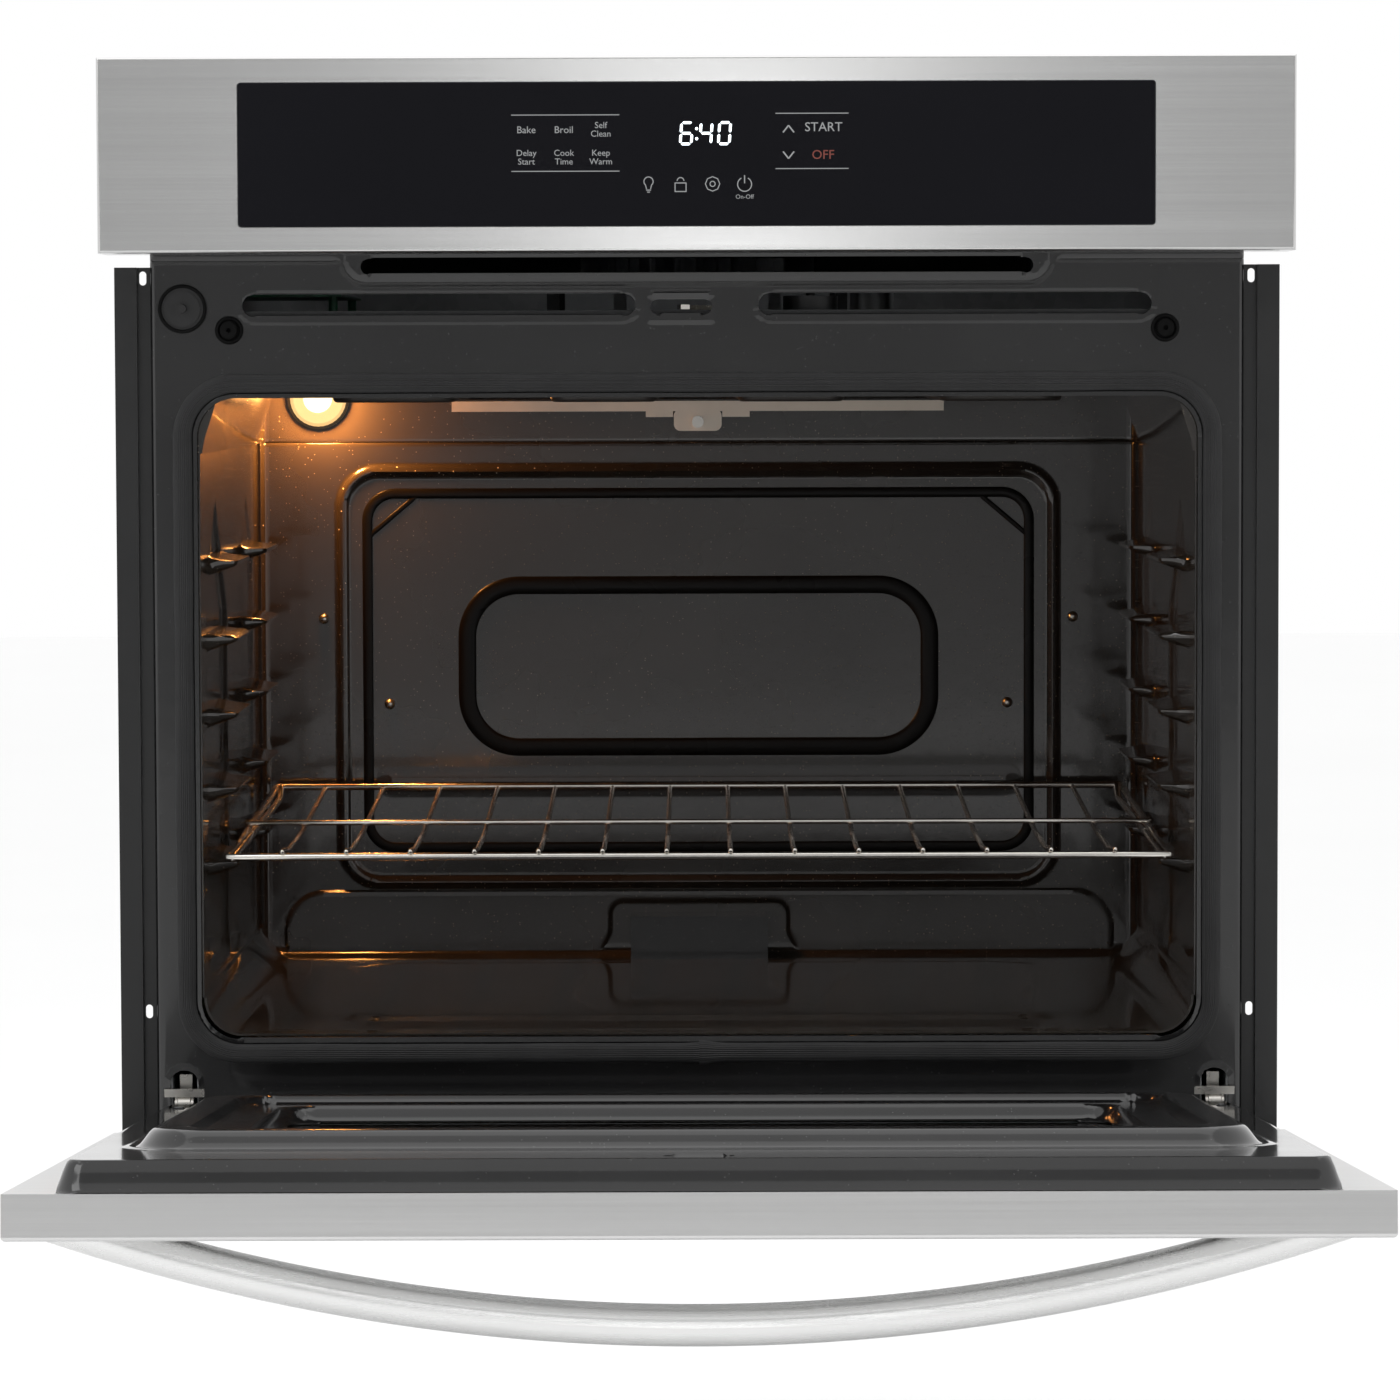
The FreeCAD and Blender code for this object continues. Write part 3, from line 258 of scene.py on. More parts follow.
def circuit(name):
    n = Nodes(name)
    v = n.put("TexVoronoi", Vector=n.where(), Scale=90.0, distance="CHEBYCHEV")
    lines = n.ramp(v.outputs["Distance"], [(0.2, (0.02, 0.13, 0.06)), (0.5, (0.03, 0.22, 0.10))])
    return n.finish(Base_Color=lines, Roughness=0.35, Normal=n.bump(v.outputs["Distance"], 0.1, 0.0005))


STEEL_TINT = (0.70, 0.70, 0.697)
M = {
    "stainless": brushed("stainless_x", STEEL_TINT, 0),
    # the panel's steel is a darker copy of the same stainless (painted shade) and the handle's a lighter copy
    # (painted light)
    "stainless_panel": brushed("stainless_panel", (0.63, 0.63, 0.627), 0, (0.18, 0.24)),
    "stainless_handle": brushed("stainless_handle", (0.80, 0.80, 0.795), 0, (0.2, 0.32)),
    "porcelain": enamel("porcelain_black", (0.010, 0.010, 0.0104), (0.075, 0.075, 0.075),
                        speck_share=0.10),
    # cavity enamel: its last argument is the lamp's place, round which glints are painted into the colour
    "porcelain_in": enamel("porcelain_cavity_lamp_glints", (0.024, 0.0195, 0.0155), (0.20, 0.165, 0.125), 0.14,
                           0.20, 0.5, 0.5, (-0.278, 0.17, 0.5056)),
    "gasket": rope_material("knitted_rope"),
    "insulation": wool("mineral_wool"),
    "black_paint": coated("satin_black", (0.011, 0.0112, 0.0115), 0.32, 0.05),
    "galv": galvanised("galvanised_steel"),
    "element": coated("element_sheath", (0.05, 0.046, 0.043), 0.5, 0.2, 0.6),
    "bracket_metal": chrome("bright_steel", (0.62, 0.60, 0.56), 0.24),
    "ceramic": coated("glazed_ceramic", (0.80, 0.79, 0.75), 0.3, 0.03),
    "lamp_glass": glowing("lamp_glass_lit", (1.0, 0.60, 0.24), 1.7, 0.6, False),
    "bulb_lit": glowing("bulb_lit", (1.0, 0.80, 0.46), 14.0, 1.0, False),
    "black_plastic": coated("moulded_black", (0.012, 0.012, 0.0125), 0.42, 0.12),
    "bumper": coated("black_silicone", (0.004, 0.004, 0.004), 0.6, 0.1, spec=0.1),
    "shadow_enamel": coated("shadow_enamel", (0.007, 0.0062, 0.0055), 0.3, 0.02, spec=0.12),
    "motor": coated("motor_can", (0.06, 0.06, 0.065), 0.4, 0.1, 0.5),
    "circuit": circuit("circuit_board"),
    "black_glass": black_glass("gloss_black_glass"),
    "window_glass": clear_glass("tinted_glass", (0.02, 0.02, 0.02), 0.82),
    "rack_chrome": chrome("rack_wire", (0.80, 0.77, 0.72), 0.16),
}
# the printed legends glow faintly on a near-black base: painted light, so they read pale under any lamp
LEGEND_GLOW = glowing("legend_print_glow", (0.62, 0.64, 0.66), 0.5, 1.0, False)
DIGITS = glowing("clock_digits", (0.86, 0.95, 1.0), 2.6)
LEGEND_RED_GLOW = glowing("legend_red_glow", (0.34, 0.07, 0.05), 0.6, 1.0, False)

DARK_ZINC = coated("dark_zinc", (0.030, 0.031, 0.032), 0.42, 0.05, 0.5)
OWN = {"component_deck": DARK_ZINC, "air_duct": DARK_ZINC, "latch_bracket": DARK_ZINC,
       "lamp_socket": coated("socket_shell", (0.05, 0.045, 0.04), 0.45, 0.05, 0.5),
       "broil_hanger": coated("hanger_strip", (0.72, 0.64, 0.55), 0.4, 0.05, 0.5)}
for node_name, node_obj in NODES.items():
    node_obj.data.materials.clear()
    node_obj.data.materials.append(OWN.get(node_name) or M[SLOT_OF[node_name]])

# ------------------------------------------------------------ mesh helpers


def new_object(name, data):
    ob = bpy.data.objects.new(name, data)
    bpy.context.scene.collection.objects.link(ob)
    return ob


def mesh_object(name, verts, faces, mat, angle=40.0):
    me = bpy.data.meshes.new(name)
    me.from_pydata([tuple(v) for v in verts], [], [tuple(f) for f in faces])
    me.validate()
    ob = new_object(name, me)
    me.materials.append(mat)
    soften_shading(me, angle)
    return ob


def soften_shading(me, angle):
    bm = bmesh.new()
    bm.from_mesh(me)
    limit = math.radians(angle)
    for f in bm.faces:
        f.smooth = True
    for e in bm.edges:
        if len(e.link_faces) == 2 and e.calc_face_angle(0.0) > limit:
            e.smooth = False
    bm.to_mesh(me)
    bm.free()


def face_outwards(me, merge=0.0):
    """Turns the faces outwards, after merging points closer than merge (m)."""
    bm = bmesh.new()
    bm.from_mesh(me)
    if merge:
        bmesh.ops.remove_doubles(bm, verts=bm.verts, dist=merge)
    bmesh.ops.recalc_face_normals(bm, faces=bm.faces)
    bm.to_mesh(me)
    bm.free()


def place(ob, body, node=None):
    """Rides on a body, and stands for a CAD node, whose part it hides."""
    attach(ob, body)
    if node:
        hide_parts(node)
    return ob


def apply_modifiers(ob):
    dg = bpy.context.evaluated_depsgraph_get()
    new = bpy.data.meshes.new_from_object(ob.evaluated_get(dg))
    ob.modifiers.clear()
    old = ob.data
    ob.data = new
    bpy.data.meshes.remove(old)
    return ob


def bevelled(node, body, width, mat=None):
    """A copy of a CAD node with its sharp edges rounded off."""
    me = NODES[node].data.copy()
    ob = new_object(node + ".soft", me)
    bm = bmesh.new()
    bm.from_mesh(me)
    bmesh.ops.remove_doubles(bm, verts=bm.verts, dist=2e-6)
    bmesh.ops.dissolve_limit(bm, angle_limit=math.radians(0.6), verts=bm.verts, edges=bm.edges)
    bm.to_mesh(me)
    bm.free()
    mod = ob.modifiers.new("bevel", "BEVEL")
    mod.width = width * MM
    mod.segments = 2
    mod.limit_method = "ANGLE"
    mod.angle_limit = math.radians(30.0)
    mod.use_clamp_overlap = True
    apply_modifiers(ob)
    soften_shading(ob.data, 38.0)
    even = ob.modifiers.new("even", "WEIGHTED_NORMAL")
    even.keep_sharp = True
    apply_modifiers(ob)
    if mat:
        ob.data.materials.clear()
        ob.data.materials.append(mat)
    return place(ob, body, node)


def rr_inside(px, pz, hw, z0, z1, r, xc=0.0):
    """Distance inside a rounded rectangle: positive inside, negative outside (mm)."""
    zc = (z0 + z1) / 2
    qx = np.abs(px - xc) - hw + r
    qz = np.abs(pz - zc) - (z1 - z0) / 2 + r
    out = np.hypot(np.maximum(qx, 0), np.maximum(qz, 0)) + np.minimum(np.maximum(qx, qz), 0) - r
    return -out


def ease(t):
    t = np.clip(t, 0, 1)
    return t * t * (3 - 2 * t)


def height_sheet(name, us, vs, height, to_space, mat, holes=(), thick=1.0, angle=40.0):
    """Sheet over a grid (mm): height(u, v) shapes it, and each hole is where its distance > 0."""
    U, W = np.meshgrid(us, vs, indexing="ij")
    U = U.copy()
    W = W.copy()
    keep = np.ones(U.shape, bool)
    cell = max(np.max(np.diff(us)), np.max(np.diff(vs)))
    eps = 0.05
    for hole in holes:
        for _ in range(3):
            d = hole(U, W)
            gu = (hole(U + eps, W) - hole(U - eps, W)) / (2 * eps)
            gv = (hole(U, W + eps) - hole(U, W - eps)) / (2 * eps)
            g = np.maximum(np.hypot(gu, gv), 1e-6)
            near = np.abs(d) < cell * 0.72
            U = np.where(near, U - d * gu / g, U)
            W = np.where(near, W - d * gv / g, W)
        keep &= hole(U, W) < 0.01
    H = height(U, W)
    P = to_space(U, W, H)
    verts = np.stack(P, axis=-1).reshape(-1, 3) * MM
    nu, nv = U.shape
    alive = keep[:-1, :-1] & keep[1:, :-1] & keep[:-1, 1:] & keep[1:, 1:]
    idx = np.arange(nu * nv).reshape(nu, nv)
    a, b, c, d = idx[:-1, :-1][alive], idx[1:, :-1][alive], idx[1:, 1:][alive], idx[:-1, 1:][alive]
    quads = np.stack([a, b, c, d], axis=-1)
    used, inv = np.unique(quads, return_inverse=True)
    quads = inv.reshape(-1, 4)
    verts = verts[used]
    me = bpy.data.meshes.new(name)
    me.vertices.add(len(verts))
    me.vertices.foreach_set("co", verts.astype(np.float32).ravel())
    me.loops.add(quads.size)
    me.loops.foreach_set("vertex_index", quads.ravel().astype(np.int32))
    me.polygons.add(len(quads))
    me.polygons.foreach_set("loop_start", np.arange(0, quads.size, 4, dtype=np.int32))
    me.polygons.foreach_set("loop_total", np.full(len(quads), 4, np.int32))
    me.update(calc_edges=True)
    me.validate()
    ob = new_object(name, me)
    me.materials.append(mat)
    mod = ob.modifiers.new("thick", "SOLIDIFY")
    mod.thickness = abs(thick) * MM
    mod.offset = -1.0 if thick > 0 else 1.0
    apply_modifiers(ob)
    soften_shading(ob.data, angle)
    return ob


def axis_steps(a, b, step, marks=()):
    """Grid lines from a to b with extra lines at marks (mm)."""
    vals = list(np.arange(a, b, step)) + [b] + [m for m in marks if a < m < b]
    vals = np.array(sorted(vals))
    keep = [vals[0]]
    fixed = set(round(m, 4) for m in marks) | {round(b, 4)}
    for v in vals[1:]:
        if v - keep[-1] < step * 0.35:
            if round(v, 4) in fixed and round(keep[-1], 4) not in fixed and len(keep) > 1:
                keep[-1] = v
            continue
        keep.append(v)
    keep[-1] = b
    return np.array(keep)


def tube(points, radius, n):
    """Verts and faces of a round tube along points (mm), with domed ends."""
    pts = [Vector(p) for p in points]
    d0 = (pts[0] - pts[1]).normalized()
    d1 = (pts[-1] - pts[-2]).normalized()
    steps = [0.98, 0.87, 0.5]
    head = [(pts[0] + d0 * radius * s, radius * math.sqrt(1 - s * s)) for s in steps]
    tail = [(pts[-1] + d1 * radius * s, radius * math.sqrt(1 - s * s)) for s in reversed(steps)]
    line = head + [(p, radius) for p in pts] + tail
    verts = []
    up = None
    for i, (p, r) in enumerate(line):
        a = line[max(i - 1, 0)][0]
        b = line[min(i + 1, len(line) - 1)][0]
        t = (b - a).normalized()
        if up is None:
            up = t.orthogonal().normalized()
        up = (up - t * up.dot(t)).normalized()
        side = t.cross(up)
        for k in range(n):
            ang = 2 * math.pi * k / n
            verts.append(p + (up * math.cos(ang) + side * math.sin(ang)) * r)
    faces = []
    for i in range(len(line) - 1):
        for k in range(n):
            k2 = (k + 1) % n
            faces.append((i * n + k, i * n + k2, (i + 1) * n + k2, (i + 1) * n + k))
    faces.append(tuple(reversed(range(n))))
    faces.append(tuple(range((len(line) - 1) * n, len(line) * n)))
    return [v * MM for v in verts], faces


def join(chunks):
    verts, faces = [], []
    for v, f in chunks:
        base = len(verts)
        verts += list(v)
        faces += [tuple(i + base for i in face) for face in f]
    return verts, faces


def bent(points, radius, steps=6):
    """Polyline with its corners rounded (mm)."""
    pts = [Vector(p) for p in points]
    out = [pts[0]]
    for i in range(1, len(pts) - 1):
        d0 = (pts[i - 1] - pts[i]).normalized()
        d1 = (pts[i + 1] - pts[i]).normalized()
        half = d0.angle(d1) / 2
        cut = radius / math.tan(half)
        mid = (d0 + d1).normalized()
        c = pts[i] + mid * (radius / math.sin(half))
        a, b = pts[i] + d0 * cut - c, pts[i] + d1 * cut - c
        for k in range(steps + 1):
            out.append(c + a.slerp(b, k / steps))
    out.append(pts[-1])
    return out


# ------------------------------------------------- sizes from the CAD model
def span(node):
    lo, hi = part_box(node)
    return [v / MM for v in lo], [v / MM for v in hi]


f_lo, f_hi = span("front_frame")
g_lo, g_hi = span("door_gasket")
FRAME_FACE = f_lo[1] + 1.5
OPEN_IN = 15.9
OPEN_HW = g_hi[0] - OPEN_IN
OPEN_Z0 = g_lo[2] + OPEN_IN
OPEN_Z1 = g_hi[2] - OPEN_IN
OPEN_R = 25.0
hinge = JOINTS["door_hinge"]
PIVOT = Vector(hinge["pos_m"]) / MM
OPEN_ANGLE = math.radians(85.3)
COS_A, SIN_A = math.cos(OPEN_ANGLE), math.sin(OPEN_ANGLE)


def open_point(x, y, z):
    """Closed-door coordinates (mm) to the open rest position."""
    dy, dz = y - PIVOT.y, z - PIVOT.z
    return x, PIVOT.y + dy * COS_A - dz * SIN_A, PIVOT.z + dy * SIN_A + dz * COS_A


# -------------------------------------------------------------- front frame
LATCH_X, LATCH_Z = -10.2, 566.7
SLOT_X, SLOT_HW, SLOT_Z0, SLOT_Z1 = 166.5, 127.0, 560.8, 575.4


def frame_height(u, v):
    h = 1.5 * ease((rr_inside(u, v, OPEN_HW + 4.2, OPEN_Z0 - 4.2, OPEN_Z1 + 4.2, OPEN_R + 4)) / 2.0)
    # groove round the air outlet, and the fold line beside it
    out = rr_inside(u, v, 231.5, 579.7, 640, 18)
    ins = rr_inside(u, v, 227.5, 584.6, 644, 14)
    h = h - 1.2 * ease(out / 1.6) * (1 - ease(ins / 1.4))
    h = h - 0.9 * np.exp(-((v - 596.8) / 0.7) ** 2) * (np.abs(u) > 233)
    for sx in (-1, 1):
        d = rr_inside(u, v, 130.5, 557.2, 579.0, 10.7, sx * SLOT_X)
        h = h + 0.7 * ease(d / 1.5) * (1 - ease((d - 2.4) / 1.6))
        h = h + 1.0 * ease((12 - np.hypot(u - sx * 335, np.maximum(v - 63, 0)) + (v < 40) * -9) / 1.5) \
            * (v > 38)
    for zc, zh in ((575.0, 1.5), (558.5, 1.3)):
        h = h + 1.1 * np.exp(-((v - zc) / zh) ** 2) * ease((22 - np.abs(u - LATCH_X)) / 3)
    edge = np.maximum(np.abs(u) - 349.0, 0)
    return h - np.where(edge > 0, 3 - np.sqrt(np.maximum(9 - np.minimum(edge, 3) ** 2, 0)), 0)


def frame_space(u, v, h):
    return u, FRAME_FACE - h, v


def vent_slot(sx):
    return lambda u, v: rr_inside(u, v, SLOT_HW, SLOT_Z0, SLOT_Z1, 7.2, sx * SLOT_X)


hole_list = [
    lambda u, v: rr_inside(u, v, OPEN_HW, OPEN_Z0, OPEN_Z1, OPEN_R),
    vent_slot(-1), vent_slot(1),
    lambda u, v: rr_inside(u, v, 19.9, LATCH_Z - 4.9, LATCH_Z + 4.9, 4.85, LATCH_X),
    lambda u, v: rr_inside(u, v, 217, 588.0, 598.0, 4.9),
    lambda u, v: rr_inside(u, v, 9, 24.0, 72.0, 8.9, -335),
    lambda u, v: rr_inside(u, v, 9, 24.0, 72.0, 8.9, 335),
]
us = axis_steps(-352, 352, 1.7, [s * k for s in (-1, 1) for k in
                                 (OPEN_HW, 39.5, 293.5, 217, 326, 344, 349, 350, 351, 351.7)]
                + [LATCH_X - 19.9, LATCH_X + 19.9])
vs = axis_steps(f_lo[2], f_hi[2], 1.7, [OPEN_Z0, OPEN_Z1, SLOT_Z0, SLOT_Z1, 561.8, 571.6, 588, 598,
                                        596.1, 596.8, 597.5, 24, 72])
front = height_sheet("front_frame.face", us, vs, frame_height, frame_space, M["porcelain"],
                     hole_list, thick=-1.2)
place(front, "chassis", "front_frame")
# side flanges that run back along the chassis
skirts = []
for sx in (-1, 1):
    x0, x1 = sx * 350.3, sx * 351.9
    pts = [(x0, FRAME_FACE + 2), (x1, FRAME_FACE + 2), (x1, f_hi[1]), (x0, f_hi[1])]
    v = [(x * MM, y * MM, z * MM) for z in (f_lo[2], f_hi[2] - 2) for x, y in pts]
    skirts.append((v, [(0, 1, 2, 3), (7, 6, 5, 4), (0, 4, 5, 1),
                       (1, 5, 6, 2), (2, 6, 7, 3), (3, 7, 4, 0)]))
v, f = join(skirts)
place(mesh_object("front_frame.flanges", v, f, M["porcelain"]), "chassis")

# rack position digits, standing slightly proud of the frame
DIGIT_Z = [121.0, 207.0, 256.5, 306.0, 356.0, 406.0]


def text_mesh(name, body, size, at, mat, depth):
    """Flat lettering facing the front, as a mesh. Sizes and places in mm."""
    cu = bpy.data.curves.new(name, "FONT")
    cu.body = body
    cu.size = size * MM
    cu.align_x = cu.align_y = "CENTER"
    cu.extrude = depth * MM
    cu.resolution_u = 3
    tmp = new_object(name + "_t", cu)
    bpy.context.view_layer.update()
    me = bpy.data.meshes.new_from_object(tmp.evaluated_get(bpy.context.evaluated_depsgraph_get()))
    bpy.data.objects.remove(tmp)
    me.transform(Matrix.Translation(Vector(at) * MM) @ Matrix.Rotation(math.pi / 2, 4, "X"))
    me.materials.clear()
    me.materials.append(mat)
    ob = new_object(name, me)
    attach(ob, "chassis")
    return ob


for i, z in enumerate(DIGIT_Z):
    text_mesh("rack_digit_%d" % (i + 1), str(i + 1), 12.5, (-344.0, FRAME_FACE - 0.1, z),
              M["porcelain"], depth=0.35)

# ------------------------------------------------------------------- gasket
def ring_path(hw, z0, z1, r, step=3.0):
    """Points round a rounded rectangle, starting at the bottom centre."""
    pts = []
    cx, cz0, cz1 = hw - r, z0 + r, z1 - r

    def line(a, b):
        n = max(2, int(math.dist(a, b) / step))
        for k in range(n):
            pts.append((a[0] + (b[0] - a[0]) * k / n, a[1] + (b[1] - a[1]) * k / n))

    def arc(c, a0):
        n = max(6, int(r * math.pi / 2 / step))
        for k in range(n):
            a = a0 + math.pi / 2 * k / n
            pts.append((c[0] + r * math.cos(a), c[1] + r * math.sin(a)))

    line((0, z0), (cx, z0))
    arc((cx, cz0), -math.pi / 2)
    line((hw, cz0), (hw, cz1))
    arc((cx, cz1), 0)
    line((cx, z1), (-cx, z1))
    arc((-cx, cz1), math.pi / 2)
    line((-hw, cz1), (-hw, cz0))
    arc((-cx, cz0), math.pi)
    line((-cx, z0), (0, z0))
    pts.append((0, z0))
    return pts


def build_gasket():
    mid = 9.5
    half_w, depth = 6.3, 7.3
    path = ring_path(OPEN_HW + mid, OPEN_Z0 - mid, OPEN_Z1 + mid, OPEN_R + mid)
    n = 56
    ribs = 15
    verts, uvs = [], []
    total = 0.0
    for i, (x, z) in enumerate(path):
        a = path[i - 1] if i else path[0]
        b = path[i + 1] if i + 1 < len(path) else path[-1]
        tx, tz = b[0] - a[0], b[1] - a[1]
        ln = math.hypot(tx, tz) or 1
        nx, nz = tz / ln, -tx / ln
        total += math.dist(a, (x, z)) if i else 0
        from_end = min(abs(x), 60.0) if z < OPEN_Z0 else 60.0
        right = x > 0 or i < 3
        swell = 1.0 + (0.30 * math.exp(-(from_end / 9.0) ** 2) if right else
                       0.12 * math.exp(-(from_end / 6.0) ** 2))
        wob = 1 + 0.025 * math.sin(total * 0.031) + 0.02 * math.sin(total * 0.083 + 1)
        for k in range(n):
            ang = math.pi * k / (n - 1)
            rib = 1 - 0.075 * (0.5 + 0.5 * math.cos(ang * ribs * 2))
            w = math.cos(ang) * half_w * swell * wob * rib
            out = (math.sin(ang) ** 0.75) * depth * rib * min(wob, 1.0)
            verts.append(((x + nx * w) * MM, (FRAME_FACE - out) * MM, (z + nz * w) * MM))
            uvs.append((total * 0.55, k / n))
    faces = []
    m = len(path)
    for i in range(m - 1):
        for k in range(n - 1):
            faces.append((i * n + k, (i + 1) * n + k, (i + 1) * n + k + 1, i * n + k + 1))
        faces.append((i * n, i * n + n - 1, (i + 1) * n + n - 1, (i + 1) * n))
    faces.append(tuple(range(n)))
    faces.append(tuple(reversed(range((m - 1) * n, m * n))))
    me = bpy.data.meshes.new("door_gasket.rope")
    me.from_pydata(verts, [], faces)
    uv = me.uv_layers.new(name="along")
    for loop in me.loops:
        uv.data[loop.index].uv = uvs[loop.vertex_index]
    ob = new_object("door_gasket.rope", me)
    me.materials.append(M["gasket"])
    soften_shading(me, 60)
    return place(ob, "chassis", "door_gasket")


build_gasket()

# ------------------------------------------------------------- oven cavity
c_hi = span("cavity_back_wall")[1]
w_lo, w_hi = span("cavity_wall_right")
FLOOR_LO = span("cavity_floor")[0]
CAV_X = w_hi[0] - 2.0
BACK_Y = c_hi[1] - 2.0
FLOOR_Z = FLOOR_LO[2] + 2.0
CREASE_Z = w_hi[2]
CEIL_Z = c_hi[2] - 2.0
WALL_Y0 = w_lo[1]
LEDGES = [118.2, 204.2, 253.7, 303.2, 353.2, 403.2]
RUNS = [(-238.0, -118.0), (8.0, 128.0)]


def back_depth(x, z):
    """How far the back wall stands forward of its flat (mm)."""
    def band(d, width, high):
        t = np.clip(d / width, 0, 1)
        return high * np.minimum(1.08 * (1 - np.abs(2 * t - 1)), 1) * ((d > 0) & (d < width))

    ax = np.abs(x)
    h = band(rr_inside(x, z, 265.3, 145, 457, 31), 9.5, 3.0)
    # flowing shelf below the panel, band above the floor and the crease line
    h = h + 2.0 * np.exp(-((z - 223) / 5.0) ** 2) * ease((238 - ax) / 14)
    h = h + 2.0 * ease(rr_inside(x, z, 305, 60, 143.4, 30) / 2.2)
    h = h - 2.0 * ease(rr_inside(x, z, 67.5 + np.maximum(112 - z, 0) * 0.5, 60, 137, 12) / 3.0)
    h = h - 0.6 * np.exp(-((z - CREASE_Z) / 0.8) ** 2)
    r = 7.0
    side = np.clip(ax - (CAV_X - r), 0, r)
    h = h + r - np.sqrt(np.maximum(r * r - side * side, 0))
    low = np.clip((FLOOR_Z + 10) - z, 0, 10)
    foot = 10 - np.sqrt(np.maximum(100 - low * low, 0))
    return np.where(low > 0, np.maximum(h, foot), h)


def back_space(u, v, h):
    return u, BACK_Y - h, v


lamp_lo, lamp_hi = span("lamp_lens")
LAMP = ((lamp_lo[0] + lamp_hi[0]) / 2, (lamp_lo[2] + lamp_hi[2]) / 2)
us = axis_steps(-CAV_X, CAV_X, 1.6)
vs = axis_steps(FLOOR_Z - 0.5, CEIL_Z + 0.5, 1.6, [CREASE_Z - 0.7, CREASE_Z, CREASE_Z + 0.7])
place(height_sheet("cavity_back.pressed", us, vs, back_depth, back_space, M["porcelain_in"],
                   thick=-1.5), "chassis", "cavity_back_wall")


def shade_line(name, points, radius, high):
    """Low rounded strip on the back wall (points in X-Z, mm), dark with painted shade of a pressed groove."""
    face = BACK_Y - 1.5
    v, f = tube([(x, face, z) for x, z in points], radius, 16)
    v = [Vector((p.x, face * MM + (p.y - face * MM) * high / radius, p.z)) for p in v]
    return place(mesh_object(name, v, f, M["shadow_enamel"], 60), "chassis")


shade_line("back_shade_ring", ring_path(242.8, 175, 435.6, 20), 3.85, 1.4)
shade_line("back_shade_track", ring_path(169.8, 249, 368, 38), 6.6, 2.0)
for sx in (-1, 1):
    shade_line("back_shade_gusset_" + ("left" if sx < 0 else "right"),
                 [(sx * 242, 404), (sx * 225.5, 418), (sx * 209, 432)], 1.9, 0.9)
heads = [tube([(sx * x, BACK_Y - 2.2, z), (sx * x, BACK_Y + 0.5, z)], 4.0, 16)
         for sx in (-1, 1) for x, z in ((275, 344), (227, 281))]
v, f = join(heads)
place(mesh_object("back_wall_screws", v, f, M["bracket_metal"]), "chassis")


def ledge_push(y, z):
    """How far the side wall stands into the cavity (mm)."""
    h = np.zeros_like(y)
    for zt in LEDGES:
        d = zt + 0.3 - z
        prof = ease(d / 2.2) * (1 - ease((d - 4.0) / 9.0))
        for y0, y1 in RUNS:
            run = ease((y - y0) / 12) * ease((y1 - y) / 12)
            h = np.maximum(h, 18.6 * prof * run)
    # stamped pocket behind the ledges, with a pointed head
    for y0, y1, yc, deep in ((-250.0, -91.0, -180.0, 3.2), (18.0, 120.0, 69.0, 2.0)):
        roof = 441 - np.abs(y - yc) * 0.85
        d = np.minimum(np.minimum(y - y0, y1 - y), np.minimum(roof - z, z - 124))
        h = h - deep * ease(d / 12) * (h < 1)
    return h


def wall_rows(sx):
    def to_space(u, v, h):
        return sx * (CAV_X - h), u, v
    return to_space


us = axis_steps(WALL_Y0, BACK_Y - 1, 2.2)
vs = axis_steps(FLOOR_Z + 25, CREASE_Z, 1.7)
for side, sx in (("left", -1), ("right", 1)):
    place(height_sheet("cavity_wall_%s.pressed" % side, us, vs, ledge_push, wall_rows(sx),
                       M["porcelain_in"], thick=(1.2 if sx < 0 else -1.2), angle=50),
          "chassis", "cavity_wall_" + side)


def profile_strip(name, profile, y0, y1, step, mat, node, bulge, thick):
    """Sheet with a cross-section in X-Z run back along Y (mm)."""
    ys = axis_steps(y0, y1, step)
    verts, faces = [], []
    n = len(profile)
    for y in ys:
        for x, z in profile:
            zz = z + (bulge(x, y) if bulge else 0)
            verts.append((x * MM, y * MM, zz * MM))
    for i in range(len(ys) - 1):
        for k in range(n - 1):
            faces.append((i * n + k, (i + 1) * n + k, (i + 1) * n + k + 1, i * n + k + 1))
    ob = mesh_object(name, verts, faces, mat, 50)
    mod = ob.modifiers.new("thick", "SOLIDIFY")
    mod.thickness = thick * MM
    mod.offset = 1.0
    apply_modifiers(ob)
    soften_shading(ob.data, 50)
    return place(ob, "chassis", node)


CORNER_R = 25.0
LEFT_X, RIGHT_X, BEND_Z = -CAV_X + CORNER_R, CAV_X - CORNER_R, FLOOR_Z + CORNER_R
prof = [(-CAV_X, BEND_Z)]
for k in range(1, 11):
    a = math.pi / 2 * k / 10
    prof.append((LEFT_X - CORNER_R * math.cos(a), BEND_Z - CORNER_R * math.sin(a)))
prof += [(x, FLOOR_Z) for x in np.arange(LEFT_X + 8, RIGHT_X - 4, 8)]
for k in range(0, 11):
    a = math.pi / 2 * k / 10
    prof.append((RIGHT_X + CORNER_R * math.sin(a), BEND_Z - CORNER_R * math.cos(a)))


def floor_bulge(x, y):
    if abs(x) >= RIGHT_X:
        return 0.0
    d = float(rr_inside(np.array(x), np.array(y), 250, -225, 130, 40))
    t = min(max(d / 18, 0), 1)
    return 1.6 * t * t * (3 - 2 * t) + 1.2 * math.exp(-((y + 278) / 5.0) ** 2)


profile_strip("cavity_floor.pressed", prof, FLOOR_LO[1], BACK_Y, 5.0, M["porcelain_in"],
              "cavity_floor", floor_bulge, -1.5)
prof = [(-CAV_X, CREASE_Z)]
slope = [(17 * (k / 8) ** 1.3, CREASE_Z + (CEIL_Z - CREASE_Z) * (k / 8)) for k in range(1, 8)]
prof += [(-CAV_X + inset, z) for inset, z in slope]
prof += [(x, CEIL_Z) for x in np.arange(-305, 306, 10)]
prof += [(CAV_X - inset, z) for inset, z in reversed(slope)]
prof.append((CAV_X, CREASE_Z))
profile_strip("cavity_ceiling.pressed", prof, FRAME_FACE + 3.5, BACK_Y, 6.0, M["porcelain_in"],
              "cavity_ceiling", None, 1.5)


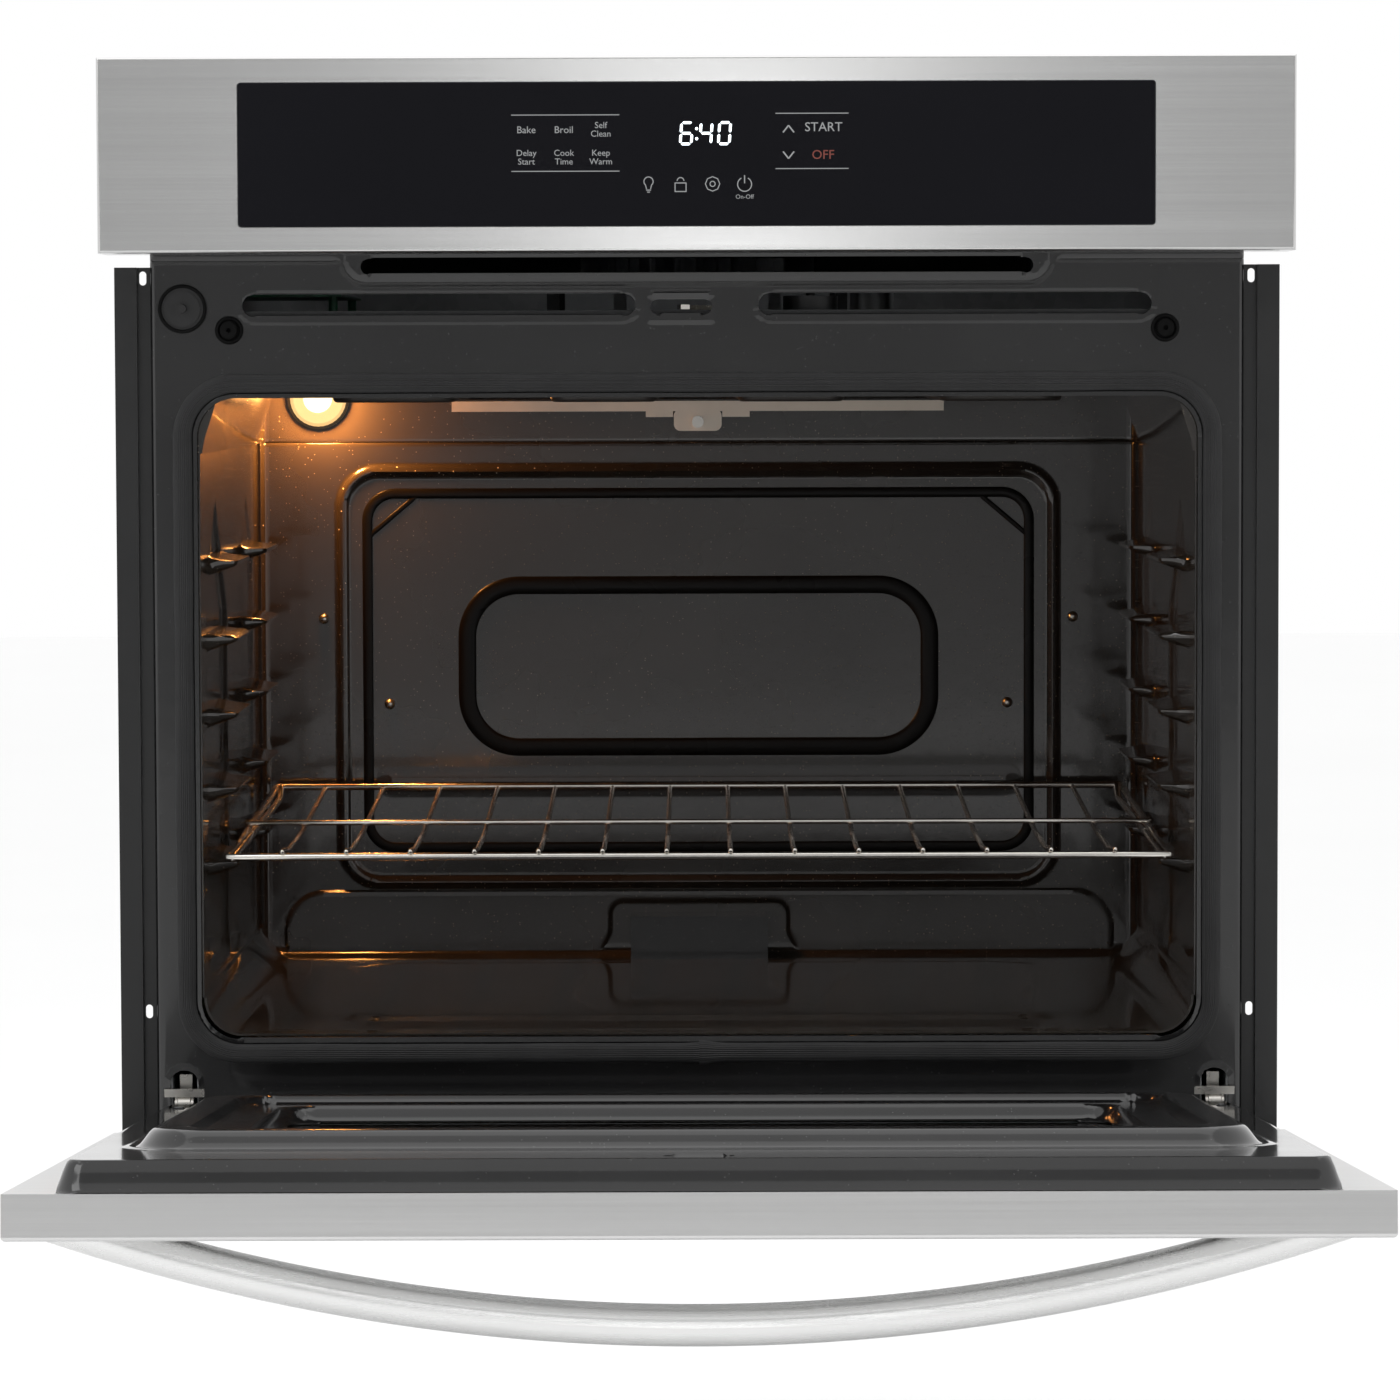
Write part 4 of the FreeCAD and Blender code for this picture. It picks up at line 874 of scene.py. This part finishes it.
def flange_hole(u, v):
    side = (CAV_X - 0.2) - np.abs(u) - np.maximum(v - CREASE_Z, 0) * 0.32
    return np.minimum(np.minimum(CEIL_Z - v, side), v - 440)


def flange_space(u, v, h):
    return u, h + FRAME_FACE + 3.4, v


us = axis_steps(-335, 335, 2.5)
vs = axis_steps(455, 545, 2.5)
flange = height_sheet("cavity_ceiling.flange", us, vs, lambda u, v: u * 0, flange_space,
                      M["porcelain_in"], [flange_hole], thick=-1.0)
place(flange, "chassis")

# --------------------------------------------------------------------- door
def liner_height(x, z):
    edge = rr_inside(x, z, 354.4, 20, 595.5, 17)
    h = 18 * ease((edge + 0.4) / 9.5)
    mid = rr_inside(x, z, 321, 96, 506, 40)
    h = h + 11 * ease(mid / 12.0) + 0.8 * np.exp(-((mid + 2.5) / 2.0) ** 2) * (mid > -7)
    h = h - 5 * ease(rr_inside(x, z, 291, 122, 480, 27) / 3.6)
    h = h - 10 * ease(rr_inside(x, z, 262, 151, 451, 23) / 7.5)
    return h


def liner_space(x, z, h):
    return open_point(x, -317.0 + h, z)


NOTCH_HW = 6.6
door_holes = [
    lambda u, v: rr_inside(u, v, 254, 159, 443, 17),
    lambda u, v: rr_inside(u, v, 20, LATCH_Z - 5, LATCH_Z + 5, 4.6),
    lambda u, v: rr_inside(u, v, NOTCH_HW, 0, 62, 2, -335),
    lambda u, v: rr_inside(u, v, NOTCH_HW, 0, 62, 2, 335),
]
us = axis_steps(-352, 352, 1.8, [s * k for s in (-1, 1) for k in (254, 20, 328.4, 341.6, 350.5, 349)])
vs = axis_steps(20, 595, 1.8, [159, 443, 561.7, 571.7, 62, 21, 22.5, 592, 593.5])
liner = height_sheet("door_liner.pressed", us, vs, liner_height, liner_space, M["porcelain"],
                     door_holes, thick=-1.1)
place(liner, "door", "door_inner_liner")

# handle: bowed bar of oval section that dies into the door face

def build_handle():
    r_mid, proj = 1128.25, 51.0
    semi_d, semi_h, z_mid = 11.75, 13.0, 547.0
    n, m = 40, 150
    verts, faces = [], []
    half = math.asin(364.0 / (r_mid + semi_d))
    face_y = -343.0
    for i in range(m + 1):
        phi = -half + 2 * half * i / m
        for k in range(n):
            a = 2 * math.pi * k / n
            rad = r_mid + semi_d * math.cos(a)
            x = rad * math.sin(phi)
            y = face_y - proj + r_mid - rad * math.cos(phi)
            y = min(y, face_y)
            verts.append(Vector(open_point(x, y, z_mid + semi_h * math.sin(a))) * MM)
    for i in range(m):
        for k in range(n):
            k2 = (k + 1) % n
            faces.append((i * n + k, (i + 1) * n + k, (i + 1) * n + k2, i * n + k2))
    faces.append(tuple(reversed(range(n))))
    faces.append(tuple(range(m * n, (m + 1) * n)))
    ob = mesh_object("door_handle.bar", verts, faces, M["stainless_handle"], 45)
    return place(ob, "door", "door_handle")


handle = build_handle()
bevelled("door_outer_skin", "door", 0.6)
fascia = bevelled("control_fascia", "chassis", 0.5, M["stainless_panel"])

# --------------------------------------------------------------------- rack
def build_rack():
    z, hw, fy, by, my, low = 208.0, 309.0, -257.0, 160.0, -90.0, 206.9
    rb, rw = 2.5, 1.75
    knee = fy + 51
    chunks = [tube([(-hw, fy, z), (0, fy, z), (hw, fy, z)], rb, 16),
              tube([(-hw, my, z + 8.5), (0, my, z + 8.5), (hw, my, z + 8.5)], 1.8, 12),
              tube([(-hw, by, z + 14), (0, by, z + 14), (hw, by, z + 14)], rb, 16)]
    for sx in (-1, 1):
        x = sx * hw
        chunks.append(tube(bent([(x, fy, z), (x, knee, z + 8), (x, by, z + 14)], 10), rb, 14))
        x = sx * (hw - 3.5)
        chunks.append(tube(bent([(x, fy, low), (x, by - 16, low), (x, by, z + 14)], 8), rb, 14))
    for i in range(14):
        x = (i - 6.5) * 42.0
        chunks.append(tube(bent([(x, fy - 2.6, z + 3.9), (x, knee, z + 11), (x, my, z + 11.8),
                                 (x, by, z + 13)], 12), rw, 12))
    v, f = join(chunks)
    return place(mesh_object("oven_rack.wires", v, f, M["rack_chrome"], 60), "rack", "oven_rack")


build_rack()

# --------------------------------------------------------------------- lamp
def turned(name, at, profile, mat, n, flutes=0, depth=0.0):
    """Closed shape turned about an axis that runs back along Y (mm)."""
    verts, faces = [], []
    m = len(profile)
    for k in range(n):
        a = 2 * math.pi * k / n
        cut = 1 + depth * math.cos(flutes * a) if flutes else 1.0
        for r, y in profile:
            verts.append(((at[0] + r * cut * math.cos(a)) * MM, (at[1] + y) * MM,
                          (at[2] + r * cut * math.sin(a)) * MM))
    for k in range(n):
        k2 = (k + 1) % n
        for i in range(m):
            i2 = (i + 1) % m
            faces.append((k * m + i, k * m + i2, k2 * m + i2, k2 * m + i))
    ob = mesh_object(name, verts, faces, mat, 45)
    face_outwards(ob.data, 1e-7)
    soften_shading(ob.data, 45)
    return ob


lens_r = (lamp_hi[0] - lamp_lo[0]) / 2
dome = [(lens_r * math.sin(a) + 1e-4, -lens_r * math.cos(a)) for a in np.linspace(0, math.pi / 2, 12)]
dome += [((lens_r - 2.2) * math.sin(a) + 1e-4, -(lens_r - 2.2) * math.cos(a))
         for a in np.linspace(math.pi / 2, 0, 12)]
lens = turned("lamp_lens.dome", (LAMP[0], lamp_hi[1], LAMP[1]), dome, M["lamp_glass"], 72, 36, 0.004)
lens.visible_shadow = False
place(lens, "chassis", "lamp_lens")
b_lo, b_hi = span("lamp_bulb")
bulb_r = 10.5
bulb = [(bulb_r * math.sin(a) + 1e-4, b_lo[1] + bulb_r - bulb_r * math.cos(a) - b_hi[1])
        for a in np.linspace(0, 2.2, 14)]
bulb += [(6.0, b_lo[1] + 21 - b_hi[1]), (9.2, b_lo[1] + 38 - b_hi[1]), (9.2, -0.2), (1e-4, -0.2)]
lit = turned("lamp_bulb.glass", (LAMP[0], b_hi[1], LAMP[1]), bulb, M["bulb_lit"], 40)
lit.visible_shadow = False
place(lit, "chassis", "lamp_bulb")


# --------------------------------------------------------------- insulation
def blanket(node, body, cell, soft):
    """Mineral-wool blanket: the plain shape made lumpy, never larger than it."""
    me = NODES[node].data.copy()
    ob = new_object(node + ".wool", me)
    mod = ob.modifiers.new("even", "REMESH")
    mod.mode = "VOXEL"
    mod.voxel_size = cell * MM
    apply_modifiers(ob)
    me = ob.data
    normals = [v.normal.copy() for v in me.vertices]
    for v, nrm in zip(me.vertices, normals):
        lump = 0.5 + 0.5 * noise.noise(v.co * 24.0) + 0.25 * noise.noise(v.co * 90.0)
        v.co -= nrm * (2.2 + soft * max(lump, 0)) * MM
    me.materials.clear()
    me.materials.append(M["insulation"])
    soften_shading(me, 80)
    place(ob, body, node)
    return ob


blanket("insulation_wrap", "chassis", 6.0, 2.2)
blanket("door_insulation", "door", 6.0, 2.2)

# dark rings: the one round the door switch is painted shade in the groove round its boss, and two more go round
# the bumpers
def ring_of(x, y, z, r, thick):
    pts = [(x + r * math.cos(a), y, z + r * math.sin(a)) for a in np.linspace(0, 2 * math.pi, 49)]
    return tube(pts, thick, 10)


p_lo, p_hi = span("door_bumpers")
bx0, bz0 = p_hi[0] - 9.2, (p_lo[2] + p_hi[2]) / 2
SWITCH_X, SWITCH_Z = -332.0, 566.3
v, f = join([ring_of(SWITCH_X, -293.4, SWITCH_Z, 14.6, 1.25), ring_of(-bx0, -293.2, bz0, 7.6, 1.3),
             ring_of(bx0, -293.2, bz0, 7.6, 1.3)])
place(mesh_object("switch_shade_and_bumper_rings", v, f, M["bumper"], 60), "chassis")

# softened edges on the sheet metal and the flat glass
for node_name, body, width in (
        ("side_trim_left", "chassis", 0.5), ("side_trim_right", "chassis", 0.5),
        ("bottom_trim", "chassis", 0.5), ("side_panel_left", "chassis", 0.35),
        ("side_panel_right", "chassis", 0.35), ("rear_panel", "chassis", 0.35),
        ("top_cover", "chassis", 0.35), ("base_pan", "chassis", 0.35),
        ("control_glass", "chassis", 0.4), ("door_outer_glass", "door", 0.4)):
    bevelled(node_name, body, width)

# ----------------------------------------------- control panel lettering
GL_LO, GL_HI = span("control_glass")
PX = 1 / 1.5735  # one step of the panel drawing, in mm
FACE = GL_LO[1] - 0.05


def pan(px, py):
    """Place on the control glass, from steps right of and below its centre."""
    return px * PX, FACE, (GL_LO[2] + GL_HI[2]) / 2 - py * PX


def flat_shapes(name, polys, mat, depth=0.12):
    """Thin raised printing from closed outlines given on the control glass."""
    verts, faces = [], []
    for poly in polys:
        base = len(verts)
        n = len(poly)
        for y in (0.0, depth):
            for px, py in poly:
                x, yy, z = pan(px, py)
                verts.append((x * MM, (yy - 0.06 + y) * MM, z * MM))
        faces.append(tuple(range(base, base + n)))
        faces.append(tuple(reversed(range(base + n, base + 2 * n))))
        for k in range(n):
            k2 = (k + 1) % n
            faces.append((base + k, base + n + k, base + n + k2, base + k2))
    ob = mesh_object(name, verts, faces, mat, 30)
    face_outwards(ob.data)
    return place(ob, "chassis")


def bar_poly(x0, y0, x1, y1, w):
    dx, dy = x1 - x0, y1 - y0
    ln = math.hypot(dx, dy)
    nx, ny = -dy / ln * w / 2, dx / ln * w / 2
    return [(x0 + nx, y0 + ny), (x1 + nx, y1 + ny), (x1 - nx, y1 - ny), (x0 - nx, y0 - ny)]


def ring_polys(cx, cy, r, w, n=26, a0=0.0, a1=360.0):
    out = []
    for k in range(n):
        p = [math.radians(a0 + (a1 - a0) * (k + s) / n) for s in (0, 1)]
        out.append([(cx + (r - w / 2) * math.cos(p[0]), cy + (r - w / 2) * math.sin(p[0])),
                    (cx + (r + w / 2) * math.cos(p[0]), cy + (r + w / 2) * math.sin(p[0])),
                    (cx + (r + w / 2) * math.cos(p[1]), cy + (r + w / 2) * math.sin(p[1])),
                    (cx + (r - w / 2) * math.cos(p[1]), cy + (r - w / 2) * math.sin(p[1]))])
    return out


lines = [bar_poly(-185, -39, -77, -39, 0.9), bar_poly(-185, 17, -77, 17, 0.9),
         bar_poly(79, -40, 152, -40, 0.9), bar_poly(79, 15, 152, 15, 0.9)]
lines += [bar_poly(86.5, -21, 92, -28, 1.4), bar_poly(92, -28, 97.5, -21, 1.4),
          bar_poly(86.5, -2, 92, 5, 1.4), bar_poly(92, 5, 97.5, -2, 1.4)]
# lamp, padlock, cog and power icons
y0 = 30
lines += ring_polys(-48, y0 - 2.5, 4.6, 1.0, 20, 130, 410)
lines += [bar_poly(-51, y0 + 1, -50, y0 + 5, 1.0), bar_poly(-45, y0 + 1, -46, y0 + 5, 1.0),
          bar_poly(-50.4, y0 + 6, -45.6, y0 + 6, 1.0), bar_poly(-49.4, y0 + 8, -46.6, y0 + 8, 1.0)]
lines += [bar_poly(-21.5, y0 - 1, -10.5, y0 - 1, 1.0), bar_poly(-21.5, y0 + 7.5, -10.5, y0 + 7.5, 1.0),
          bar_poly(-21.5, y0 - 1.5, -21.5, y0 + 8, 1.0), bar_poly(-10.5, y0 - 1.5, -10.5, y0 + 8, 1.0)]
lines += ring_polys(-16, y0 - 3, 3.4, 1.0, 12, 180, 360)
lines += ring_polys(16, y0, 7.2, 1.0, 8) + ring_polys(16, y0, 2.6, 1.0, 14)
lines += ring_polys(48, y0 + 0.5, 7.0, 1.0, 22, -62, 242)
lines += [bar_poly(48, y0 - 8.5, 48, y0 - 0.5, 1.1)]
flat_shapes("panel_lines", lines, LEGEND_GLOW)


def clock_polys():
    """Seven-segment figures, sloping slightly."""
    seg = {"a": ((0, 0), (1, 0)), "b": ((1, 0), (1, 1)), "c": ((1, 1), (1, 2)), "d": ((0, 2), (1, 2)),
           "e": ((0, 1), (0, 2)), "f": ((0, 0), (0, 1)), "g": ((0, 1), (1, 1))}
    shapes = {"6": "acdefg", "4": "bcfg", "0": "abcdef"}
    out = []
    w, h = 11.0, 10.6
    for ch, x0 in (("6", -15.5), ("4", 4.0), ("0", 22.5)):
        for s in shapes[ch]:
            (ax, ay), (bx, by) = seg[s]
            p0 = (x0 + ax * w, -31.0 + ay * h)
            p1 = (x0 + bx * w, -31.0 + by * h)
            dx, dy = p1[0] - p0[0], p1[1] - p0[1]
            ln = math.hypot(dx, dy)
            ux, uy = dx / ln, dy / ln
            g, t = 0.8, 1.25
            q0 = (p0[0] + ux * g, p0[1] + uy * g)
            q1 = (p1[0] - ux * g, p1[1] - uy * g)
            nx, ny = -uy * t, ux * t
            poly = [q0,
                    (q0[0] + ux * t + nx, q0[1] + uy * t + ny),
                    (q1[0] - ux * t + nx, q1[1] - uy * t + ny),
                    q1,
                    (q1[0] - ux * t - nx, q1[1] - uy * t - ny),
                    (q0[0] + ux * t - nx, q0[1] + uy * t - ny)]
            out.append([(x - (y + 20) * 0.07, y) for x, y in poly])
    for y in (-25.0, -15.0):
        out.append([(0.2 + 1.5 * math.cos(a), y + 1.5 * math.sin(a))
                    for a in [math.pi / 4 * k for k in range(8)]])
    return out


flat_shapes("clock_digits", clock_polys(), DIGITS)
WORDS = [("Bake", -170, -24, 6.3), ("Broil", -132.5, -24, 6.3), ("Self", -95.5, -28.5, 5.6),
         ("Clean", -95.5, -20.0, 5.6), ("Delay", -170, -1.0, 5.6), ("Start", -170, 7.6, 5.6),
         ("Cook", -132.5, -1.0, 5.6), ("Time", -132.5, 7.6, 5.6), ("Keep", -95.5, -1.0, 5.6),
         ("Warm", -95.5, 7.6, 5.6), ("START", 127.0, -26.0, 8.2), ("On-Off", 48, 43.0, 3.9)]
for i, (word, px, py, size) in enumerate(WORDS):
    text_mesh("panel_word_%02d" % i, word, size, pan(px, py), LEGEND_GLOW, depth=0.06)
text_mesh("panel_word_off", "OFF", 8.2, pan(126.5, 1.6), LEGEND_RED_GLOW, depth=0.06)

# ------------------------------------------------------ stage, light, camera
def stage_plane(name, corners, mat):
    ob = mesh_object(name, corners, [tuple(range(len(corners)))], mat)
    return ob


n = Nodes("pale_floor")
pale = n.ramp(n.noise(n.where(), 1.5, 2.0),
              [(0.3, (0.975, 0.975, 0.975)), (0.7, (0.985, 0.985, 0.985))])
floor_mat = n.finish(Base_Color=pale, Roughness=0.9)
FLOOR_LEVEL = -0.35
FLOOR_HALF = 14.0
stage_plane("floor", [(x * FLOOR_HALF, y * FLOOR_HALF, FLOOR_LEVEL)
                      for x, y in ((-1, -1), (1, -1), (1, 1), (-1, 1))], floor_mat)

world = bpy.data.worlds.new("studio")
world.use_nodes = True
bg = world.node_tree.nodes["Background"]
bg.inputs[0].default_value = (1.0, 1.0, 1.0, 1)
bg.inputs[1].default_value = 1.0
bpy.context.scene.world = world
bpy.context.scene.view_settings.view_transform = "Standard"


def area(name, at, to, size, power, colour=(1, 1, 1)):
    li = bpy.data.lights.new(name, "AREA")
    li.shape = "RECTANGLE"
    li.size, li.size_y = size
    li.energy = power
    li.color = colour
    ob = new_object(name, li)
    ob.location = at
    ob.rotation_euler = (Vector(to) - Vector(at)).to_track_quat("-Z", "Y").to_euler()
    return ob


n = Nodes("grey_card")
tone = n.ramp(n.noise(n.where(), 0.8, 2.0), [(0.3, (0.48, 0.48, 0.48)), (0.7, (0.52, 0.52, 0.52))])
card_mat = n.finish(Base_Color=tone, Roughness=0.95)
card = stage_plane("card", [(-8, -10, FLOOR_LEVEL), (8, -10, FLOOR_LEVEL), (8, -10, 9), (-8, -10, 9)],
                   card_mat)
card.visible_camera = False
# the narrow light lifts only the steel, so the black glass stays dark
softbox = area("softbox", (0.03, -4.4, 0.9), (0, -0.3, 0.6), (0.26, 2.6), 5.2)
steel_only = bpy.data.collections.new("steel_only")
for piece in (fascia, handle):
    steel_only.objects.link(piece)
softbox.light_linking.receiver_collection = steel_only
area("key", (-1.8, -2.4, 2.6), (0, -0.3, 0.4), (1.6, 1.2), 14)
area("top", (0, 0.2, 2.8), (0, 0, 0.4), (3.0, 3.0), 18)


def spot(name, at, power, colour, radius):
    li = bpy.data.lights.new(name, "POINT")
    li.energy = power
    li.color = colour
    li.shadow_soft_size = radius
    ob = new_object(name, li)
    ob.location = at
    return ob


lamp_at = (LAMP[0] * MM, (lamp_lo[1] + 8) * MM, LAMP[1] * MM)
lamp_light = spot("oven_lamp", lamp_at, 4.0, (1.0, 0.37, 0.08), 0.014)

shaded = bpy.data.collections.new("unlit_by_lamp")
for i, piece in enumerate((lens, lit, NODES["lamp_socket"])):
    shaded.objects.link(piece)
    shaded.collection_objects[i].light_linking.link_state = "EXCLUDE"
lamp_light.light_linking.receiver_collection = shaded

# The photograph's viewpoint: place, tilt, roll, yaw and lens.
SENSOR_MM, FOCAL_PX, PHOTO_PX = 36.0, 5471.06, 1400.0
CAM_AT = Vector((0.00209, -3.83109, 0.52885))
TILT, ROLL, YAW = math.radians(3.499), math.radians(0.175), math.radians(-0.015)
right0 = Vector((math.cos(YAW), -math.sin(YAW), 0))
ahead0 = Vector((math.sin(YAW), math.cos(YAW), 0))
ahead = ahead0 * math.cos(TILT) - Vector((0, 0, 1)) * math.sin(TILT)
up0 = ahead0 * math.sin(TILT) + Vector((0, 0, 1)) * math.cos(TILT)
right = right0 * math.cos(ROLL) - up0 * math.sin(ROLL)
up = right0 * math.sin(ROLL) + up0 * math.cos(ROLL)
cam_data = bpy.data.cameras.new("camera")
cam_data.sensor_width = SENSOR_MM
cam_data.lens = SENSOR_MM * FOCAL_PX / PHOTO_PX
cam_data.clip_end = 60.0
cam = new_object("camera", cam_data)
rot = Matrix((right, up, -ahead)).transposed().to_4x4()
cam.matrix_world = Matrix.Translation(CAM_AT) @ rot
bpy.context.scene.camera = cam
